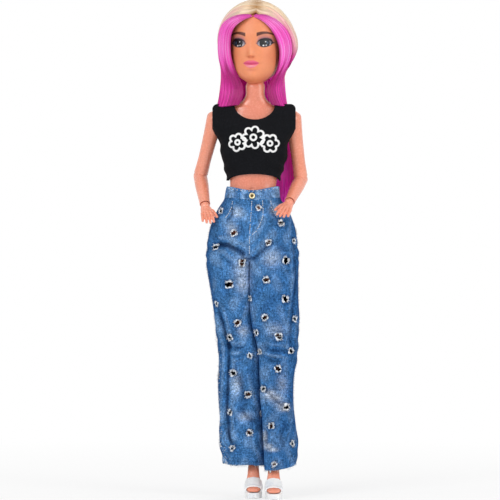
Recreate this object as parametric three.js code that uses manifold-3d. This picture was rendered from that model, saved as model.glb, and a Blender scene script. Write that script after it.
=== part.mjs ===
import * as THREE from "three";
import { mergeVertices } from "three/addons/utils/BufferGeometryUtils.js";
import Module from "manifold-3d";

const wasm = await Module();
wasm.setup();

// Millimetres. +X is the figure's left, -Y its front, +Z up.
// Clearances and walls
const GAP = 0.3;
const SHELL_WALL = 1.8;
const VINYL_WALL = 1.5;
const DENIM = 0.7;
const JERSEY = 0.6;

// The standing figure, from the floor up
const ANKLE_HEIGHT = 22;
const SHIN_LENGTH = 69;
const THIGH_LENGTH = 62;
const TRUNK_LENGTH = 75;
const NECK_LENGTH = 19;
const HIP_SPREAD = 11;
const SHOULDER_SPREAD = 23.5;
const PELVIS_SHIFT = -1.2;
const HEAD_SHIFT = 0.8;
const ANKLES = { right: { x: -0.3, y: 5 }, left: { x: 11.8, y: -5 } };

// Trunk
const HIP_HALF_WIDTH = 17;
const WAIST_HALF_WIDTH = 14;
const RIB_HALF_WIDTH = 16;
const BUST_HALF_WIDTH = 19.2;
const COLLAR_HALF_WIDTH = 12;
const NECK_RADIUS = 6;
const BUST_DEPTH = 13.5;
const WAIST_DEPTH = 9;
const BACK_DEPTH = 9.5;

// Arms
const UPPER_ARM_LENGTH = 38;
const FOREARM_LENGTH = 26;
const PALM_LENGTH = 8;
const FINGER_LENGTH = 8;
const SHOULDER_BALL = 5.3;
const ARM_RADIUS = 4.2;
const ELBOW_RADIUS = 4.1;
const WRIST_RADIUS = 3;
const WRIST_RIM_RISE = 1.6;

// Link in a limb joint: an eye on a pin, its stem turning in the limb above
const ELBOW_EYE = { radius: 2.7, thick: 2.4, pin: 0.8, stem: 1.3, head: 2, reach: 10 };
const WRIST_EYE = { radius: 1.8, thick: 1.6, pin: 0.5, stem: 0.8, head: 1.3, reach: 7 };
const SHOULDER_EYE = { radius: 3.2, thick: 2.6, pin: 1, stem: 1.6, head: 2.8, reach: 11 };
const KNEE_EYE = { radius: 4, thick: 3.4, pin: 1 };

// Legs
const HIP_BALL = 8.4;
const THIGH_RADIUS = 7;
const KNEE_RADIUS = 5.4;
const CALF_RADIUS = 5.2;
const ANKLE_RADIUS = 3.3;
const HIP_AXLE_RADIUS = 1.5;

// Head and hair
const HEAD_HEIGHT = 45;
const FACE_HALF_WIDTH = 14.6;
const FACE_DEPTH = 15.4;
const NOSE_LENGTH = 3.4;
const HAIR_HALF_WIDTH = 24;
const HAIR_LENGTH = 96;

// Clothes and shoes
const HEM_HEIGHT = 17;
const WAISTBAND_HEIGHT = 6.8;
const TOP_LENGTH = 46;
const BUTTON_RADIUS = 1.8;
const SOLE_THICKNESS = 5;
const HEEL_HEIGHT = 13.4;
const BAND_WALL = 0.8;

// Stored pose, in degrees
const HEAD_YAW = -10;
const ARM_POSE = {
  right: { swing: 22.7, lift: 13.9, twist: 13.3, bend: -69.8, wristTwist: -14, wristBend: -8 },
  left: { swing: 17.1, lift: 7.6, twist: -19.6, bend: -74.5, wristTwist: 18, wristBend: -5 },
};

const HIP_HEIGHT = ANKLE_HEIGHT + SHIN_LENGTH + THIGH_LENGTH;
const KNEE_HEIGHT = ANKLE_HEIGHT + SHIN_LENGTH;
const SHOULDER_HEIGHT = HIP_HEIGHT + TRUNK_LENGTH;
const NECK_PIVOT = SHOULDER_HEIGHT + NECK_LENGTH;
const CHIN_HEIGHT = NECK_PIVOT + 4;
const SIDES = { right: -1, left: 1 };
const FAR = 400;

const material = (color, roughness, metalness = 0) =>
  new THREE.MeshStandardMaterial({ color, roughness, metalness });
const SKIN = material("#f0a080", 0.4);
const BLOND = material("#ecc9a2", 0.5);
const PINK = material("#d8379a", 0.5);
const BLACK = material("#17181c", 0.9);
const BLUE = material("#46709c", 0.9);
const GOLD = material("#c9a24e", 0.3, 1);
const WHITE = material("#f1f3f4", 0.35);
const PEG = material("#e3c0a8", 0.5);

const { degToRad, clamp, lerp } = THREE.MathUtils;

// A closed geometry as a solid that can be cut and joined
function solid(geometry) {
  const bare = geometry.clone();
  bare.deleteAttribute("normal");
  bare.deleteAttribute("uv");
  const merged = mergeVertices(bare, 1e-4);
  const corners = [...merged.index.array];
  const kept = [];
  for (let i = 0; i < corners.length; i += 3) {
    const [a, b, c] = corners.slice(i, i + 3);
    if (a !== b && b !== c && c !== a) {
      kept.push(a, b, c);
    }
  }
  return new wasm.Manifold(new wasm.Mesh({
    numProp: 3,
    vertProperties: new Float32Array(merged.attributes.position.array),
    triVerts: new Uint32Array(kept),
  }));
}

function joined(first, ...others) {
  return others.reduce((sum, piece) => sum.add(piece), first);
}

function cut(first, ...others) {
  return others.reduce((rest, piece) => rest.subtract(piece), first);
}

// A solid as a named mesh inside a group
function place(group, name, shape, finish) {
  const data = shape.getMesh();
  const geometry = new THREE.BufferGeometry();
  geometry.setAttribute("position", new THREE.BufferAttribute(data.vertProperties, 3));
  geometry.setIndex(new THREE.BufferAttribute(data.triVerts, 1));
  const mesh = new THREE.Mesh(geometry, finish);
  mesh.name = name;
  group.add(mesh);
  return mesh;
}

// A flat outline drawn out along its own Z
function drawnOut(outline, depth, curveSegments) {
  return new THREE.ExtrudeGeometry(outline, { depth, curveSegments, bevelEnabled: false });
}

// The largest body of a solid that a cut left in several
function largest(shape) {
  return shape.decompose().sort((a, b) => b.volume() - a.volume())[0];
}

function box(x0, x1, y0, y1, z0, z1) {
  const geometry = new THREE.BoxGeometry(x1 - x0, y1 - y0, z1 - z0);
  geometry.translate((x0 + x1) / 2, (y0 + y1) / 2, (z0 + z1) / 2);
  return solid(geometry);
}

function ball(radius, x = 0, y = 0, z = 0, across = 20) {
  const geometry = new THREE.SphereGeometry(radius, across, across / 2);
  geometry.rotateX(Math.PI / 2);
  geometry.translate(x, y, z);
  return solid(geometry);
}

// A round rod between two points
function rod(radius, from, to, across = 12, radiusTo = radius) {
  const start = new THREE.Vector3(...from);
  const end = new THREE.Vector3(...to);
  const way = end.clone().sub(start);
  const geometry = new THREE.CylinderGeometry(radiusTo, radius, way.length(), across);
  geometry.translate(0, way.length() / 2, 0);
  geometry.applyQuaternion(
    new THREE.Quaternion().setFromUnitVectors(new THREE.Vector3(0, 1, 0), way.normalize()));
  geometry.translate(...from);
  return solid(geometry);
}

// Smooth curve through rows of [position, value, value ...], rising in position
function through(rows) {
  const slope = (k, column) => {
    const before = rows[Math.max(k - 1, 0)];
    const after = rows[Math.min(k + 1, rows.length - 1)];
    return (after[column] - before[column]) / (after[0] - before[0]);
  };
  return (at) => {
    let k = 0;
    while (k < rows.length - 2 && at > rows[k + 1][0]) {
      k += 1;
    }
    const span = rows[k + 1][0] - rows[k][0];
    const t = clamp((at - rows[k][0]) / span, 0, 1);
    const near = (1 + 2 * t) * (1 - t) ** 2;
    const far = t * t * (3 - 2 * t);
    const leave = t * (1 - t) ** 2 * span;
    const arrive = t * t * (t - 1) * span;
    return rows[k].slice(1).map((value, i) => value * near + rows[k + 1][i + 1] * far
      + slope(k, i + 1) * leave + slope(k + 1, i + 1) * arrive);
  };
}

// Points round an oval with its own front and back depth, counter-clockwise from above
function oval(count, halfWidth, front, back, power = 2) {
  const bend = (value) => Math.sign(value) * Math.abs(value) ** (2 / power);
  return Array.from({ length: count }, (_, i) => {
    const angle = (2 * Math.PI * i) / count;
    const depth = Math.sin(angle) > 0 ? back : front;
    return [halfWidth * bend(Math.cos(angle)), depth * bend(Math.sin(angle))];
  });
}

// A closed solid through rings of [x, y, z] points, bottom ring first
function loft(rings) {
  const count = rings[0].length;
  const points = rings.flat();
  const index = [];
  for (let r = 0; r < rings.length - 1; r += 1) {
    for (let i = 0; i < count; i += 1) {
      const a = r * count + i;
      const b = r * count + (i + 1) % count;
      index.push(a, b, b + count, a, b + count, a + count);
    }
  }
  const middle = (ring) => [0, 1, 2].map((k) =>
    ring.reduce((sum, point) => sum + point[k], 0) / count);
  const low = points.push(middle(rings[0])) - 1;
  const high = points.push(middle(rings[rings.length - 1])) - 1;
  const top = (rings.length - 1) * count;
  for (let i = 0; i < count; i += 1) {
    const next = (i + 1) % count;
    index.push(low, next, i, high, top + i, top + next);
  }
  const geometry = new THREE.BufferGeometry();
  geometry.setAttribute("position", new THREE.Float32BufferAttribute(points.flat(), 3));
  geometry.setIndex(index);
  return solid(geometry);
}

const steps = (from, to, count) =>
  Array.from({ length: count + 1 }, (_, i) => lerp(from, to, i / count));

// A limb hanging down from the origin through rows of [distance, half width, half depth, y]
function limb(rows, count = 16) {
  return loft(rows.toReversed().map(([down, wide, deep, y = 0]) =>
    oval(count, wide, deep, deep).map(([px, py]) => [px, py + y, -down])));
}

// Slot for an eye and its stem about the X axis, open from straight up through an angle forward
function eyeSlot(eye, openTo, reach) {
  const half = eye.thick / 2 + GAP;
  const radius = eye.radius + GAP;
  const stemHalf = eye.radius + GAP;
  const pieces = [rod(radius, [-half, 0, 0], [half, 0, 0], 10)];
  const turns = Math.max(1, Math.ceil(Math.abs(openTo) / 50));
  for (let i = 0; i <= turns; i += 1) {
    const arm = new THREE.BoxGeometry(2 * half, 2 * stemHalf, reach);
    arm.translate(0, 0, reach / 2);
    arm.rotateX(degToRad((openTo * i) / turns));
    pieces.push(solid(arm));
  }
  return joined(...pieces);
}

// Eye at the origin with a stem up to a mushroom head
function eyeLink(eye) {
  const half = eye.thick / 2;
  const disc = rod(eye.radius, [-half, 0, 0], [half, 0, 0], 12);
  const neck = box(-half, half, -eye.stem, eye.stem, 0, eye.radius + 1);
  const stem = rod(eye.stem, [0, 0, eye.radius], [0, 0, eye.reach], 8);
  const head = rod(eye.head, [0, 0, eye.reach - 1.2], [0, 0, eye.reach], 8, eye.stem);
  const bore = pinBore(eye);
  return cut(joined(disc, neck, stem, head), bore);
}

// Room for a link's stem and head in the limb above the joint
function stemBore(eye) {
  const stem = rod(eye.stem + GAP, [0, 0, 0], [0, 0, eye.reach], 7);
  const head = rod(eye.head + GAP, [0, 0, eye.reach - 1.2 - GAP], [0, 0, eye.reach + GAP], 7);
  return joined(stem, head);
}

function pin(eye, halfLength) {
  return rod(eye.pin, [-halfLength, 0, 0], [halfLength, 0, 0], 8);
}

function pinBore(eye) {
  return rod(eye.pin + GAP / 3, [-FAR, 0, 0], [FAR, 0, 0], 8);
}

// A solid moved by a matrix
function moved(shape, matrix) {
  const data = shape.getMesh();
  const geometry = new THREE.BufferGeometry();
  geometry.setAttribute("position", new THREE.BufferAttribute(data.vertProperties.slice(), 3));
  geometry.setIndex(new THREE.BufferAttribute(data.triVerts.slice(), 1));
  return solid(geometry.applyMatrix4(matrix));
}

const root = new THREE.Group();
const figure = new THREE.Group();
root.add(figure);

// Trunk: half width, front and back depth by height
const trunkAt = through([
  [HIP_HEIGHT - 8, 9, 7, 8, PELVIS_SHIFT],
  [HIP_HEIGHT, 15, 11, 12, PELVIS_SHIFT],
  [HIP_HEIGHT + 0.13 * TRUNK_LENGTH, HIP_HALF_WIDTH, 11.5, 12.5, PELVIS_SHIFT],
  [HIP_HEIGHT + 0.26 * TRUNK_LENGTH, HIP_HALF_WIDTH - 0.6, 11, 11.5, PELVIS_SHIFT],
  [HIP_HEIGHT + 0.4 * TRUNK_LENGTH, WAIST_HALF_WIDTH + 0.6, WAIST_DEPTH, WAIST_DEPTH, -1],
  [HIP_HEIGHT + 0.48 * TRUNK_LENGTH, WAIST_HALF_WIDTH, WAIST_DEPTH, WAIST_DEPTH - 0.5, -0.5],
  [HIP_HEIGHT + 0.63 * TRUNK_LENGTH, RIB_HALF_WIDTH, WAIST_DEPTH + 1.5, WAIST_DEPTH, 0],
  [HIP_HEIGHT + 0.75 * TRUNK_LENGTH, BUST_HALF_WIDTH - 0.9, BUST_DEPTH - 1.5, BACK_DEPTH, 0],
  [HIP_HEIGHT + 0.82 * TRUNK_LENGTH, BUST_HALF_WIDTH, BUST_DEPTH, BACK_DEPTH, 0],
  [HIP_HEIGHT + 0.89 * TRUNK_LENGTH, BUST_HALF_WIDTH, BUST_DEPTH - 1.6, BACK_DEPTH, 0],
  [SHOULDER_HEIGHT - 2, BUST_HALF_WIDTH - 0.6, 9, 9, 0],
  [SHOULDER_HEIGHT + 4, BUST_HALF_WIDTH - 1.4, 6.8, 7.6, 0],
  [SHOULDER_HEIGHT + 8, COLLAR_HALF_WIDTH + 1, 5.4, 6.4, 0.3],
  [SHOULDER_HEIGHT + 11, COLLAR_HALF_WIDTH - 4, 5.2, 6, 0.6],
  [SHOULDER_HEIGHT + 14.5, NECK_RADIUS, NECK_RADIUS - 0.4, NECK_RADIUS, HEAD_SHIFT],
  [NECK_PIVOT, NECK_RADIUS, NECK_RADIUS - 0.2, NECK_RADIUS - 0.2, HEAD_SHIFT],
]);

function trunkLoft(from, to, offset, count = 20, levels = 14) {
  return loft(steps(from, to, levels).map((z) => {
    const [wide, front, back, shift] = trunkAt(z);
    return oval(count, wide + offset, front + offset, back + offset, 2.3)
      .map(([x, y]) => [x + shift, y, z]);
  }));
}

const hips = Object.fromEntries(Object.entries(SIDES).map(([side, sign]) =>
  [side, new THREE.Vector3(PELVIS_SHIFT + sign * HIP_SPREAD, 0, HIP_HEIGHT)]));
const CROTCH_HALF = 2;
const NECK_DOME = NECK_RADIUS - 0.2;
const KNOB_FLANGE = 3.2;

function buildTrunk() {
  const bottom = HIP_HEIGHT - 5.5;
  const outer = trunkLoft(bottom, NECK_PIVOT, 0);
  const hollow = trunkLoft(HIP_HEIGHT + 12, SHOULDER_HEIGHT + 5, -SHELL_WALL, 14, 6);
  const dome = ball(NECK_DOME, HEAD_SHIFT, 0, NECK_PIVOT, 12);
  const hipRooms = Object.entries(SIDES).map(([side, sign]) => {
    const inner = PELVIS_SHIFT + sign * CROTCH_HALF;
    const high = HIP_HEIGHT + HIP_BALL + 2 * GAP;
    const below = sign > 0
      ? box(inner, FAR, -FAR, FAR, 0, high)
      : box(-FAR, inner, -FAR, FAR, 0, high);
    return joined(below,
      rod(HIP_BALL + 3 * GAP, [inner, 0, HIP_HEIGHT], [inner + sign * 40, 0, HIP_HEIGHT], 16));
  });
  const axle = rod(HIP_AXLE_RADIUS + GAP / 3, [-FAR, 0, HIP_HEIGHT], [FAR, 0, HIP_HEIGHT], 8);
  const knobRoom = joined(
    rod(2.2 + GAP / 2, [HEAD_SHIFT, 0, SHOULDER_HEIGHT], [HEAD_SHIFT, 0, NECK_PIVOT + 10], 12),
    rod(KNOB_FLANGE + GAP, [HEAD_SHIFT, 0, SHOULDER_HEIGHT + 6],
      [HEAD_SHIFT, 0, SHOULDER_HEIGHT + 9.2], 12));
  const shoulders = Object.values(SIDES).map((sign) => {
    const x = sign * SHOULDER_SPREAD;
    const eye = SHOULDER_EYE;
    const seat = ball(SHOULDER_BALL + 1.5 * GAP, x, 0, SHOULDER_HEIGHT, 10);
    const bore = rod(eye.stem + GAP, [x, 0, SHOULDER_HEIGHT],
      [x - sign * eye.reach, 0, SHOULDER_HEIGHT], 8);
    const head = rod(eye.head + GAP, [x - sign * (eye.reach - 1.2 - GAP), 0, SHOULDER_HEIGHT],
      [x - sign * (eye.reach + 2), 0, SHOULDER_HEIGHT], 8);
    return joined(seat, bore, head);
  });
  const shell = cut(outer.add(dome), hollow, ...hipRooms, axle, knobRoom, ...shoulders);
  place(figure, "torso_front", largest(cut(shell, box(-FAR, FAR, 0, FAR, -FAR, FAR))), SKIN);
  place(figure, "torso_back", largest(cut(shell, box(-FAR, FAR, -FAR, 0, -FAR, FAR))), SKIN);

  const reach = HIP_SPREAD + HIP_BALL - 1.6;
  const axlePin = rod(HIP_AXLE_RADIUS, [PELVIS_SHIFT - reach, 0, HIP_HEIGHT],
    [PELVIS_SHIFT + reach, 0, HIP_HEIGHT], 8);
  const ends = Object.values(SIDES).map((sign) =>
    rod(HIP_AXLE_RADIUS + 1.2, [PELVIS_SHIFT + sign * (reach - 1.2), 0, HIP_HEIGHT],
      [PELVIS_SHIFT + sign * reach, 0, HIP_HEIGHT], 8));
  place(figure, "hip_axle", joined(axlePin, ...ends), PEG);
}

// Cropped jersey top: a loose shell, wider than the trunk at the shoulders
const TOP_HEM = SHOULDER_HEIGHT + 9 - TOP_LENGTH;
const topAt = through([
  [TOP_HEM - 2, WAIST_HALF_WIDTH + 1.4, WAIST_DEPTH + 1.4, WAIST_DEPTH + 1, 2.3],
  [TOP_HEM + 7, RIB_HALF_WIDTH + 1.8, WAIST_DEPTH + 2.8, WAIST_DEPTH + 1.4, 2.3],
  [TOP_HEM + 17, BUST_HALF_WIDTH + 1.2, BUST_DEPTH - 0.4, BACK_DEPTH + 1.2, 2.4],
  [TOP_HEM + 22, BUST_HALF_WIDTH + 1.1, BUST_DEPTH + 1.3, BACK_DEPTH + 1.3, 2.5],
  [TOP_HEM + 29, BUST_HALF_WIDTH + 5, BUST_DEPTH, BACK_DEPTH + 1.2, 2.8],
  [SHOULDER_HEIGHT, BUST_HALF_WIDTH + 8.5, 10, 10, 3.6],
  [SHOULDER_HEIGHT + 5, BUST_HALF_WIDTH + 8.5, 8.2, 8.8, 3.6],
  [SHOULDER_HEIGHT + 9, BUST_HALF_WIDTH + 7, 6.8, 7.4, 3],
]);
const ARMHOLE_FROM = SHOULDER_SPREAD - SHOULDER_BALL;
const TOP_EDGE = SHOULDER_SPREAD + 1.6;
const ARMHOLE_LOW = SHOULDER_HEIGHT - 17;
const NECKLINE_HALF = 12.3;
const NECKLINE_DROP = 9.5;

function topLoft(from, to, offset) {
  return loft(steps(from, to, 7).map((z) => {
    const [wide, front, back, power] = topAt(z);
    return oval(20, wide + offset, front + offset, back + offset, power).map(([x, y]) => {
      const fold = 0.25 * Math.cos(9 * Math.atan2(y, x) + z / 7);
      const swell = 1 + fold / Math.hypot(x, y);
      return [x * swell, y * swell, z];
    });
  }));
}

function buildTop() {
  const high = SHOULDER_HEIGHT + 9;
  const outer = topLoft(TOP_HEM, high, 0);
  const inner = topLoft(TOP_HEM - 1, high - JERSEY, -JERSEY);
  const scoop = (depth, back) => {
    const geometry = new THREE.CylinderGeometry(1, 1, 30, 24);
    geometry.scale(NECKLINE_HALF, 1, depth);
    geometry.translate(HEAD_SHIFT / 2, back ? 15 : -15, high);
    return solid(geometry);
  };
  const hemRise = new THREE.CylinderGeometry(1, 1, 80, 24);
  hemRise.scale(WAIST_HALF_WIDTH + 1, 1, 3.6);
  hemRise.translate(0, 0, TOP_HEM);
  const arms = Object.entries(SIDES).map(([side, sign]) => {
    const pose = ARM_POSE[side];
    const tilt = new THREE.Euler(degToRad(pose.swing), degToRad(-sign * pose.lift), 0);
    const start = new THREE.Vector3(sign * SHOULDER_SPREAD, 0, SHOULDER_HEIGHT);
    const end = new THREE.Vector3(0, 0, -30).applyEuler(tilt).add(start);
    return joined(
      ball(SHOULDER_BALL + 2 * GAP, start.x, 0, SHOULDER_HEIGHT, 12),
      rod(ARM_RADIUS + 2.5 * GAP, start.toArray(), end.toArray(), 10));
  });
  const open = cut(outer, inner, scoop(NECKLINE_DROP, false), scoop(4, true), solid(hemRise),
    box(TOP_EDGE, FAR, -FAR, FAR, ARMHOLE_LOW + 9, FAR),
    box(-FAR, -TOP_EDGE, -FAR, FAR, ARMHOLE_LOW + 9, FAR), ...arms);
  const trunkRoom = trunkLoft(TOP_HEM - 4, SHOULDER_HEIGHT + 12, GAP, 14, 7);
  const cloth = cut(open, trunkRoom);
  const edges = Object.values(SIDES).map((sign) => (sign > 0
    ? box(ARMHOLE_FROM, FAR, -FAR, FAR, ARMHOLE_LOW, FAR)
    : box(-FAR, -ARMHOLE_FROM, -FAR, FAR, ARMHOLE_LOW, FAR)));
  place(figure, "crop_top", largest(cut(cloth, ...edges)), BLACK);
  place(figure, "armhole_right", largest(cloth.intersect(edges[0])), BLACK);
  place(figure, "armhole_left", largest(cloth.intersect(edges[1])), BLACK);
}

// Wide jeans. Outer edges of both legs, the line between them and their depth, by height
const LEG_TOP = HIP_HEIGHT - 7;
const legsAt = through([
  [HEM_HEIGHT - 1, -18.6, 6.4, 24.7, 11],
  [HEM_HEIGHT + 6, -19, 5.9, 25.6, 11.4],
  [HEM_HEIGHT + 13, -20.2, 5.8, 26, 11.6],
  [HEM_HEIGHT + 21, -21, 5.3, 25.6, 11.6],
  [HEM_HEIGHT + 30, -20.6, 4.8, 24.6, 11],
  [HEM_HEIGHT + 42, -21.4, 3.8, 24.1, 10.6],
  [HEM_HEIGHT + 55, -21.7, 3.3, 24.5, 10.4],
  [KNEE_HEIGHT - 10, -21.1, 3, 26, 10.6],
  [KNEE_HEIGHT, -21.8, 2, 26.6, 11],
  [KNEE_HEIGHT + 9, -23.2, -0.4, 26.6, 11.4],
  [KNEE_HEIGHT + 17, -24.1, -2, 27, 11.8],
  [KNEE_HEIGHT + 28, -25.4, -2.6, 26.6, 12.4],
  [KNEE_HEIGHT + 39, -27, -2.7, 26.8, 13],
  [HIP_HEIGHT - 13, -28.4, -2.8, 27.2, 13.6],
  [HIP_HEIGHT - 3, -28.4, -2.8, 27.2, 14],
]);
const seatAt = through([
  [LEG_TOP - 2, 27.8, 14, 15],
  [HIP_HEIGHT + 2, 26.9, 14.4, 15.4],
  [HIP_HEIGHT + 10, 25.4, 14.2, 15],
  [HIP_HEIGHT + 20, 21.6, 13.4, 14],
  [HIP_HEIGHT + 27, 17.8, 12.2, 12.4],
]);
const SEAT_TOP = HIP_HEIGHT + 26.6;
const LEG_GAP = 0.35;
const SPLIT_SLANT = 0.4;

// Folds of the cloth: shallow diagonal waves, deeper below the knee
function fold(angle, z, side) {
  const low = 1 - clamp((z - HEM_HEIGHT) / (HIP_HEIGHT - HEM_HEIGHT), 0, 1);
  const across = Math.cos(3 * angle + side * z * 0.09);
  const creases = Math.cos(z * 0.55 + 2 * angle) * Math.exp(-(((z - KNEE_HEIGHT) / 16) ** 2));
  return (0.35 + 0.5 * low) * across + 0.35 * creases;
}

function legRing(side, z, inset, count) {
  const sign = SIDES[side];
  const [rightEdge, split, leftEdge, deep] = legsAt(z);
  const edge = sign > 0 ? leftEdge : rightEdge;
  const along = clamp((HIP_HEIGHT - z) / (HIP_HEIGHT - ANKLE_HEIGHT), 0, 1);
  const midY = ANKLES[side].y * along;
  const midX = (edge + split) / 2;
  const half = Math.abs(edge - split) / 2;
  return oval(count, half - inset, deep - inset, deep - inset, 2.5).map(([px, py]) => {
    const angle = Math.atan2(py, sign * px);
    const swell = 1 + fold(angle, z, sign) / Math.hypot(px, py);
    const x = midX + px * swell;
    const y = midY + py * swell;
    const slant = SPLIT_SLANT * clamp((z - KNEE_HEIGHT) / 10, 0, 1);
    const wall = split + slant * Math.max(0, y + 3) + sign * (LEG_GAP + inset);
    return [sign > 0 ? Math.max(x, wall) : Math.min(x, wall), y, z];
  });
}

function legTube(side, from, to, levels, count = 16) {
  const ring = (inset) => (z) => legRing(side, z, inset, count);
  const over = 0.5;
  const outer = loft(steps(from, to, levels).map(ring(0)));
  const inner = loft(steps(from - over, to + over, levels).map(ring(DENIM)));
  return outer.subtract(inner);
}

function seatLoft(from, to, offset) {
  return loft(steps(from, to, 4).map((z) => {
    const [wide, front, back] = seatAt(z);
    return oval(22, wide + offset, front + offset, back + offset, 2.4).map(([px, py]) => {
      const lift = 1 + 0.4 * Math.cos(7 * Math.atan2(py, px) + z * 0.2) / Math.hypot(px, py);
      return [px * lift + PELVIS_SHIFT + 0.3, py * lift, z];
    });
  }));
}

const THIGH_CLOTH_TOP = HIP_HEIGHT - 15;
const KNEE_CLOTH = 15;
const BAND_POINTS = 20;

function buildJeans() {
  const bandFrom = SEAT_TOP + GAP / 2;
  const bandTo = bandFrom + WAISTBAND_HEIGHT;
  const bandAt = (z, offset) => {
    const [wide, front, back, shift] = trunkAt(z);
    return oval(BAND_POINTS, wide + offset, front + offset + 0.6, back + offset + 0.6, 2.3)
      .map(([x, y]) => [x + shift, y,
        z + 0.9 * (x / wide) ** 2 * clamp((z - bandFrom) / WAISTBAND_HEIGHT, 0, 1)]);
  };
  const rise = (from, to, offset) =>
    loft(steps(from, to, 2).map((z) => bandAt(z, offset)));
  const band = rise(bandFrom, bandTo, 1.9).subtract(rise(bandFrom - 3, bandTo + 3, 0.6));
  place(figure, "jeans_waistband", band, BLUE);
  const foremost = 0.75 * BAND_POINTS;
  const frontY = Math.min(bandAt(bandFrom, 1.9)[foremost][1], bandAt(bandTo, 1.9)[foremost][1]);
  const dome = new THREE.LatheGeometry([
    new THREE.Vector2(0, 0),
    new THREE.Vector2(BUTTON_RADIUS, 0),
    new THREE.Vector2(BUTTON_RADIUS, 0.35),
    new THREE.Vector2(BUTTON_RADIUS * 0.75, 0.7),
    new THREE.Vector2(BUTTON_RADIUS * 0.3, 0.6),
    new THREE.Vector2(0, 0.6),
  ], 16);
  dome.rotateX(Math.PI);
  dome.translate(PELVIS_SHIFT, frontY - 0.1, bandFrom + 0.45 * WAISTBAND_HEIGHT);
  place(figure, "jeans_button", solid(dome), GOLD);

  const whole = seatLoft(LEG_TOP, SEAT_TOP, 0);
  const room = seatLoft(LEG_TOP + DENIM, SEAT_TOP + 1, -DENIM);
  for (const [side, sign] of Object.entries(SIDES)) {
    const middle = legsAt(LEG_TOP)[1];
    const edge = middle + sign * GAP / 2;
    const half = sign > 0
      ? box(edge, FAR, -FAR, FAR, -FAR, FAR)
      : box(-FAR, edge, -FAR, FAR, -FAR, FAR);
    const cloth = (inset, from, to) =>
      loft(steps(from, to, 1).map((z) => legRing(side, z, inset, 16)));
    const upper = whole.intersect(half);
    const seat = joined(upper, cloth(0, THIGH_CLOTH_TOP, LEG_TOP + 1));
    const passage = cloth(DENIM, LEG_TOP - 0.5, LEG_TOP + 2 * DENIM)
      .intersect(seatLoft(LEG_TOP - 1, LEG_TOP + 3 * DENIM, -DENIM));
    const hollow = joined(room, cloth(DENIM, THIGH_CLOTH_TOP - 0.5, LEG_TOP), passage);
    place(figure, `jeans_seat_${side}`, largest(seat.subtract(hollow)), BLUE);
  }
}

// Legs. A leg's own frame has its origin at the hip and hangs down -Z to the ankle.
const KNEE_DOME = KNEE_RADIUS - 0.4;

function legFrame(side) {
  const hip = hips[side];
  const ankle = new THREE.Vector3(ANKLES[side].x, ANKLES[side].y, ANKLE_HEIGHT);
  const way = ankle.clone().sub(hip);
  const turn = new THREE.Quaternion().setFromUnitVectors(
    new THREE.Vector3(0, 0, -1), way.clone().normalize());
  const total = way.length();
  const knee = (total * THIGH_LENGTH) / (THIGH_LENGTH + SHIN_LENGTH);
  return { hip, ankle, turn, total, knee };
}

// Foot sections from heel to toe: [forward, half width, bottom, top], at the ankle's foot point
const FOOT = [
  [-4.6, 1.6, HEEL_HEIGHT + 1.6, HEEL_HEIGHT + 4],
  [-3.6, 2.8, HEEL_HEIGHT + 0.6, ANKLE_HEIGHT - 0.5],
  [-1.5, 3.2, HEEL_HEIGHT + 0.1, ANKLE_HEIGHT + 3],
  [1, 3.3, HEEL_HEIGHT - 0.8, ANKLE_HEIGHT + 3],
  [4, 3.5, HEEL_HEIGHT - 2.9, ANKLE_HEIGHT - 0.5],
  [8, 4.1, HEEL_HEIGHT - 6, 16.4],
  [11.5, 4.6, SOLE_THICKNESS + GAP, 12.2],
  [14.5, 4.5, SOLE_THICKNESS + GAP, 9.8],
  [17, 3.9, SOLE_THICKNESS + GAP, 8.7],
  [18.6, 2.8, SOLE_THICKNESS + GAP + 0.3, 7.7],
];

function footLoft(grow, rows = FOOT, count = 12) {
  return loft(rows.map(([forward, wide, low, high], k) => {
    const middle = (low + high) / 2;
    const tall = (high - low) / 2 + grow;
    const ends = k === 0 ? grow : k === rows.length - 1 ? -grow : 0;
    return oval(count, wide + grow, tall, tall, 2.4)
      .map(([x, z]) => [x, ends - forward, middle + z]);
  }));
}

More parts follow.
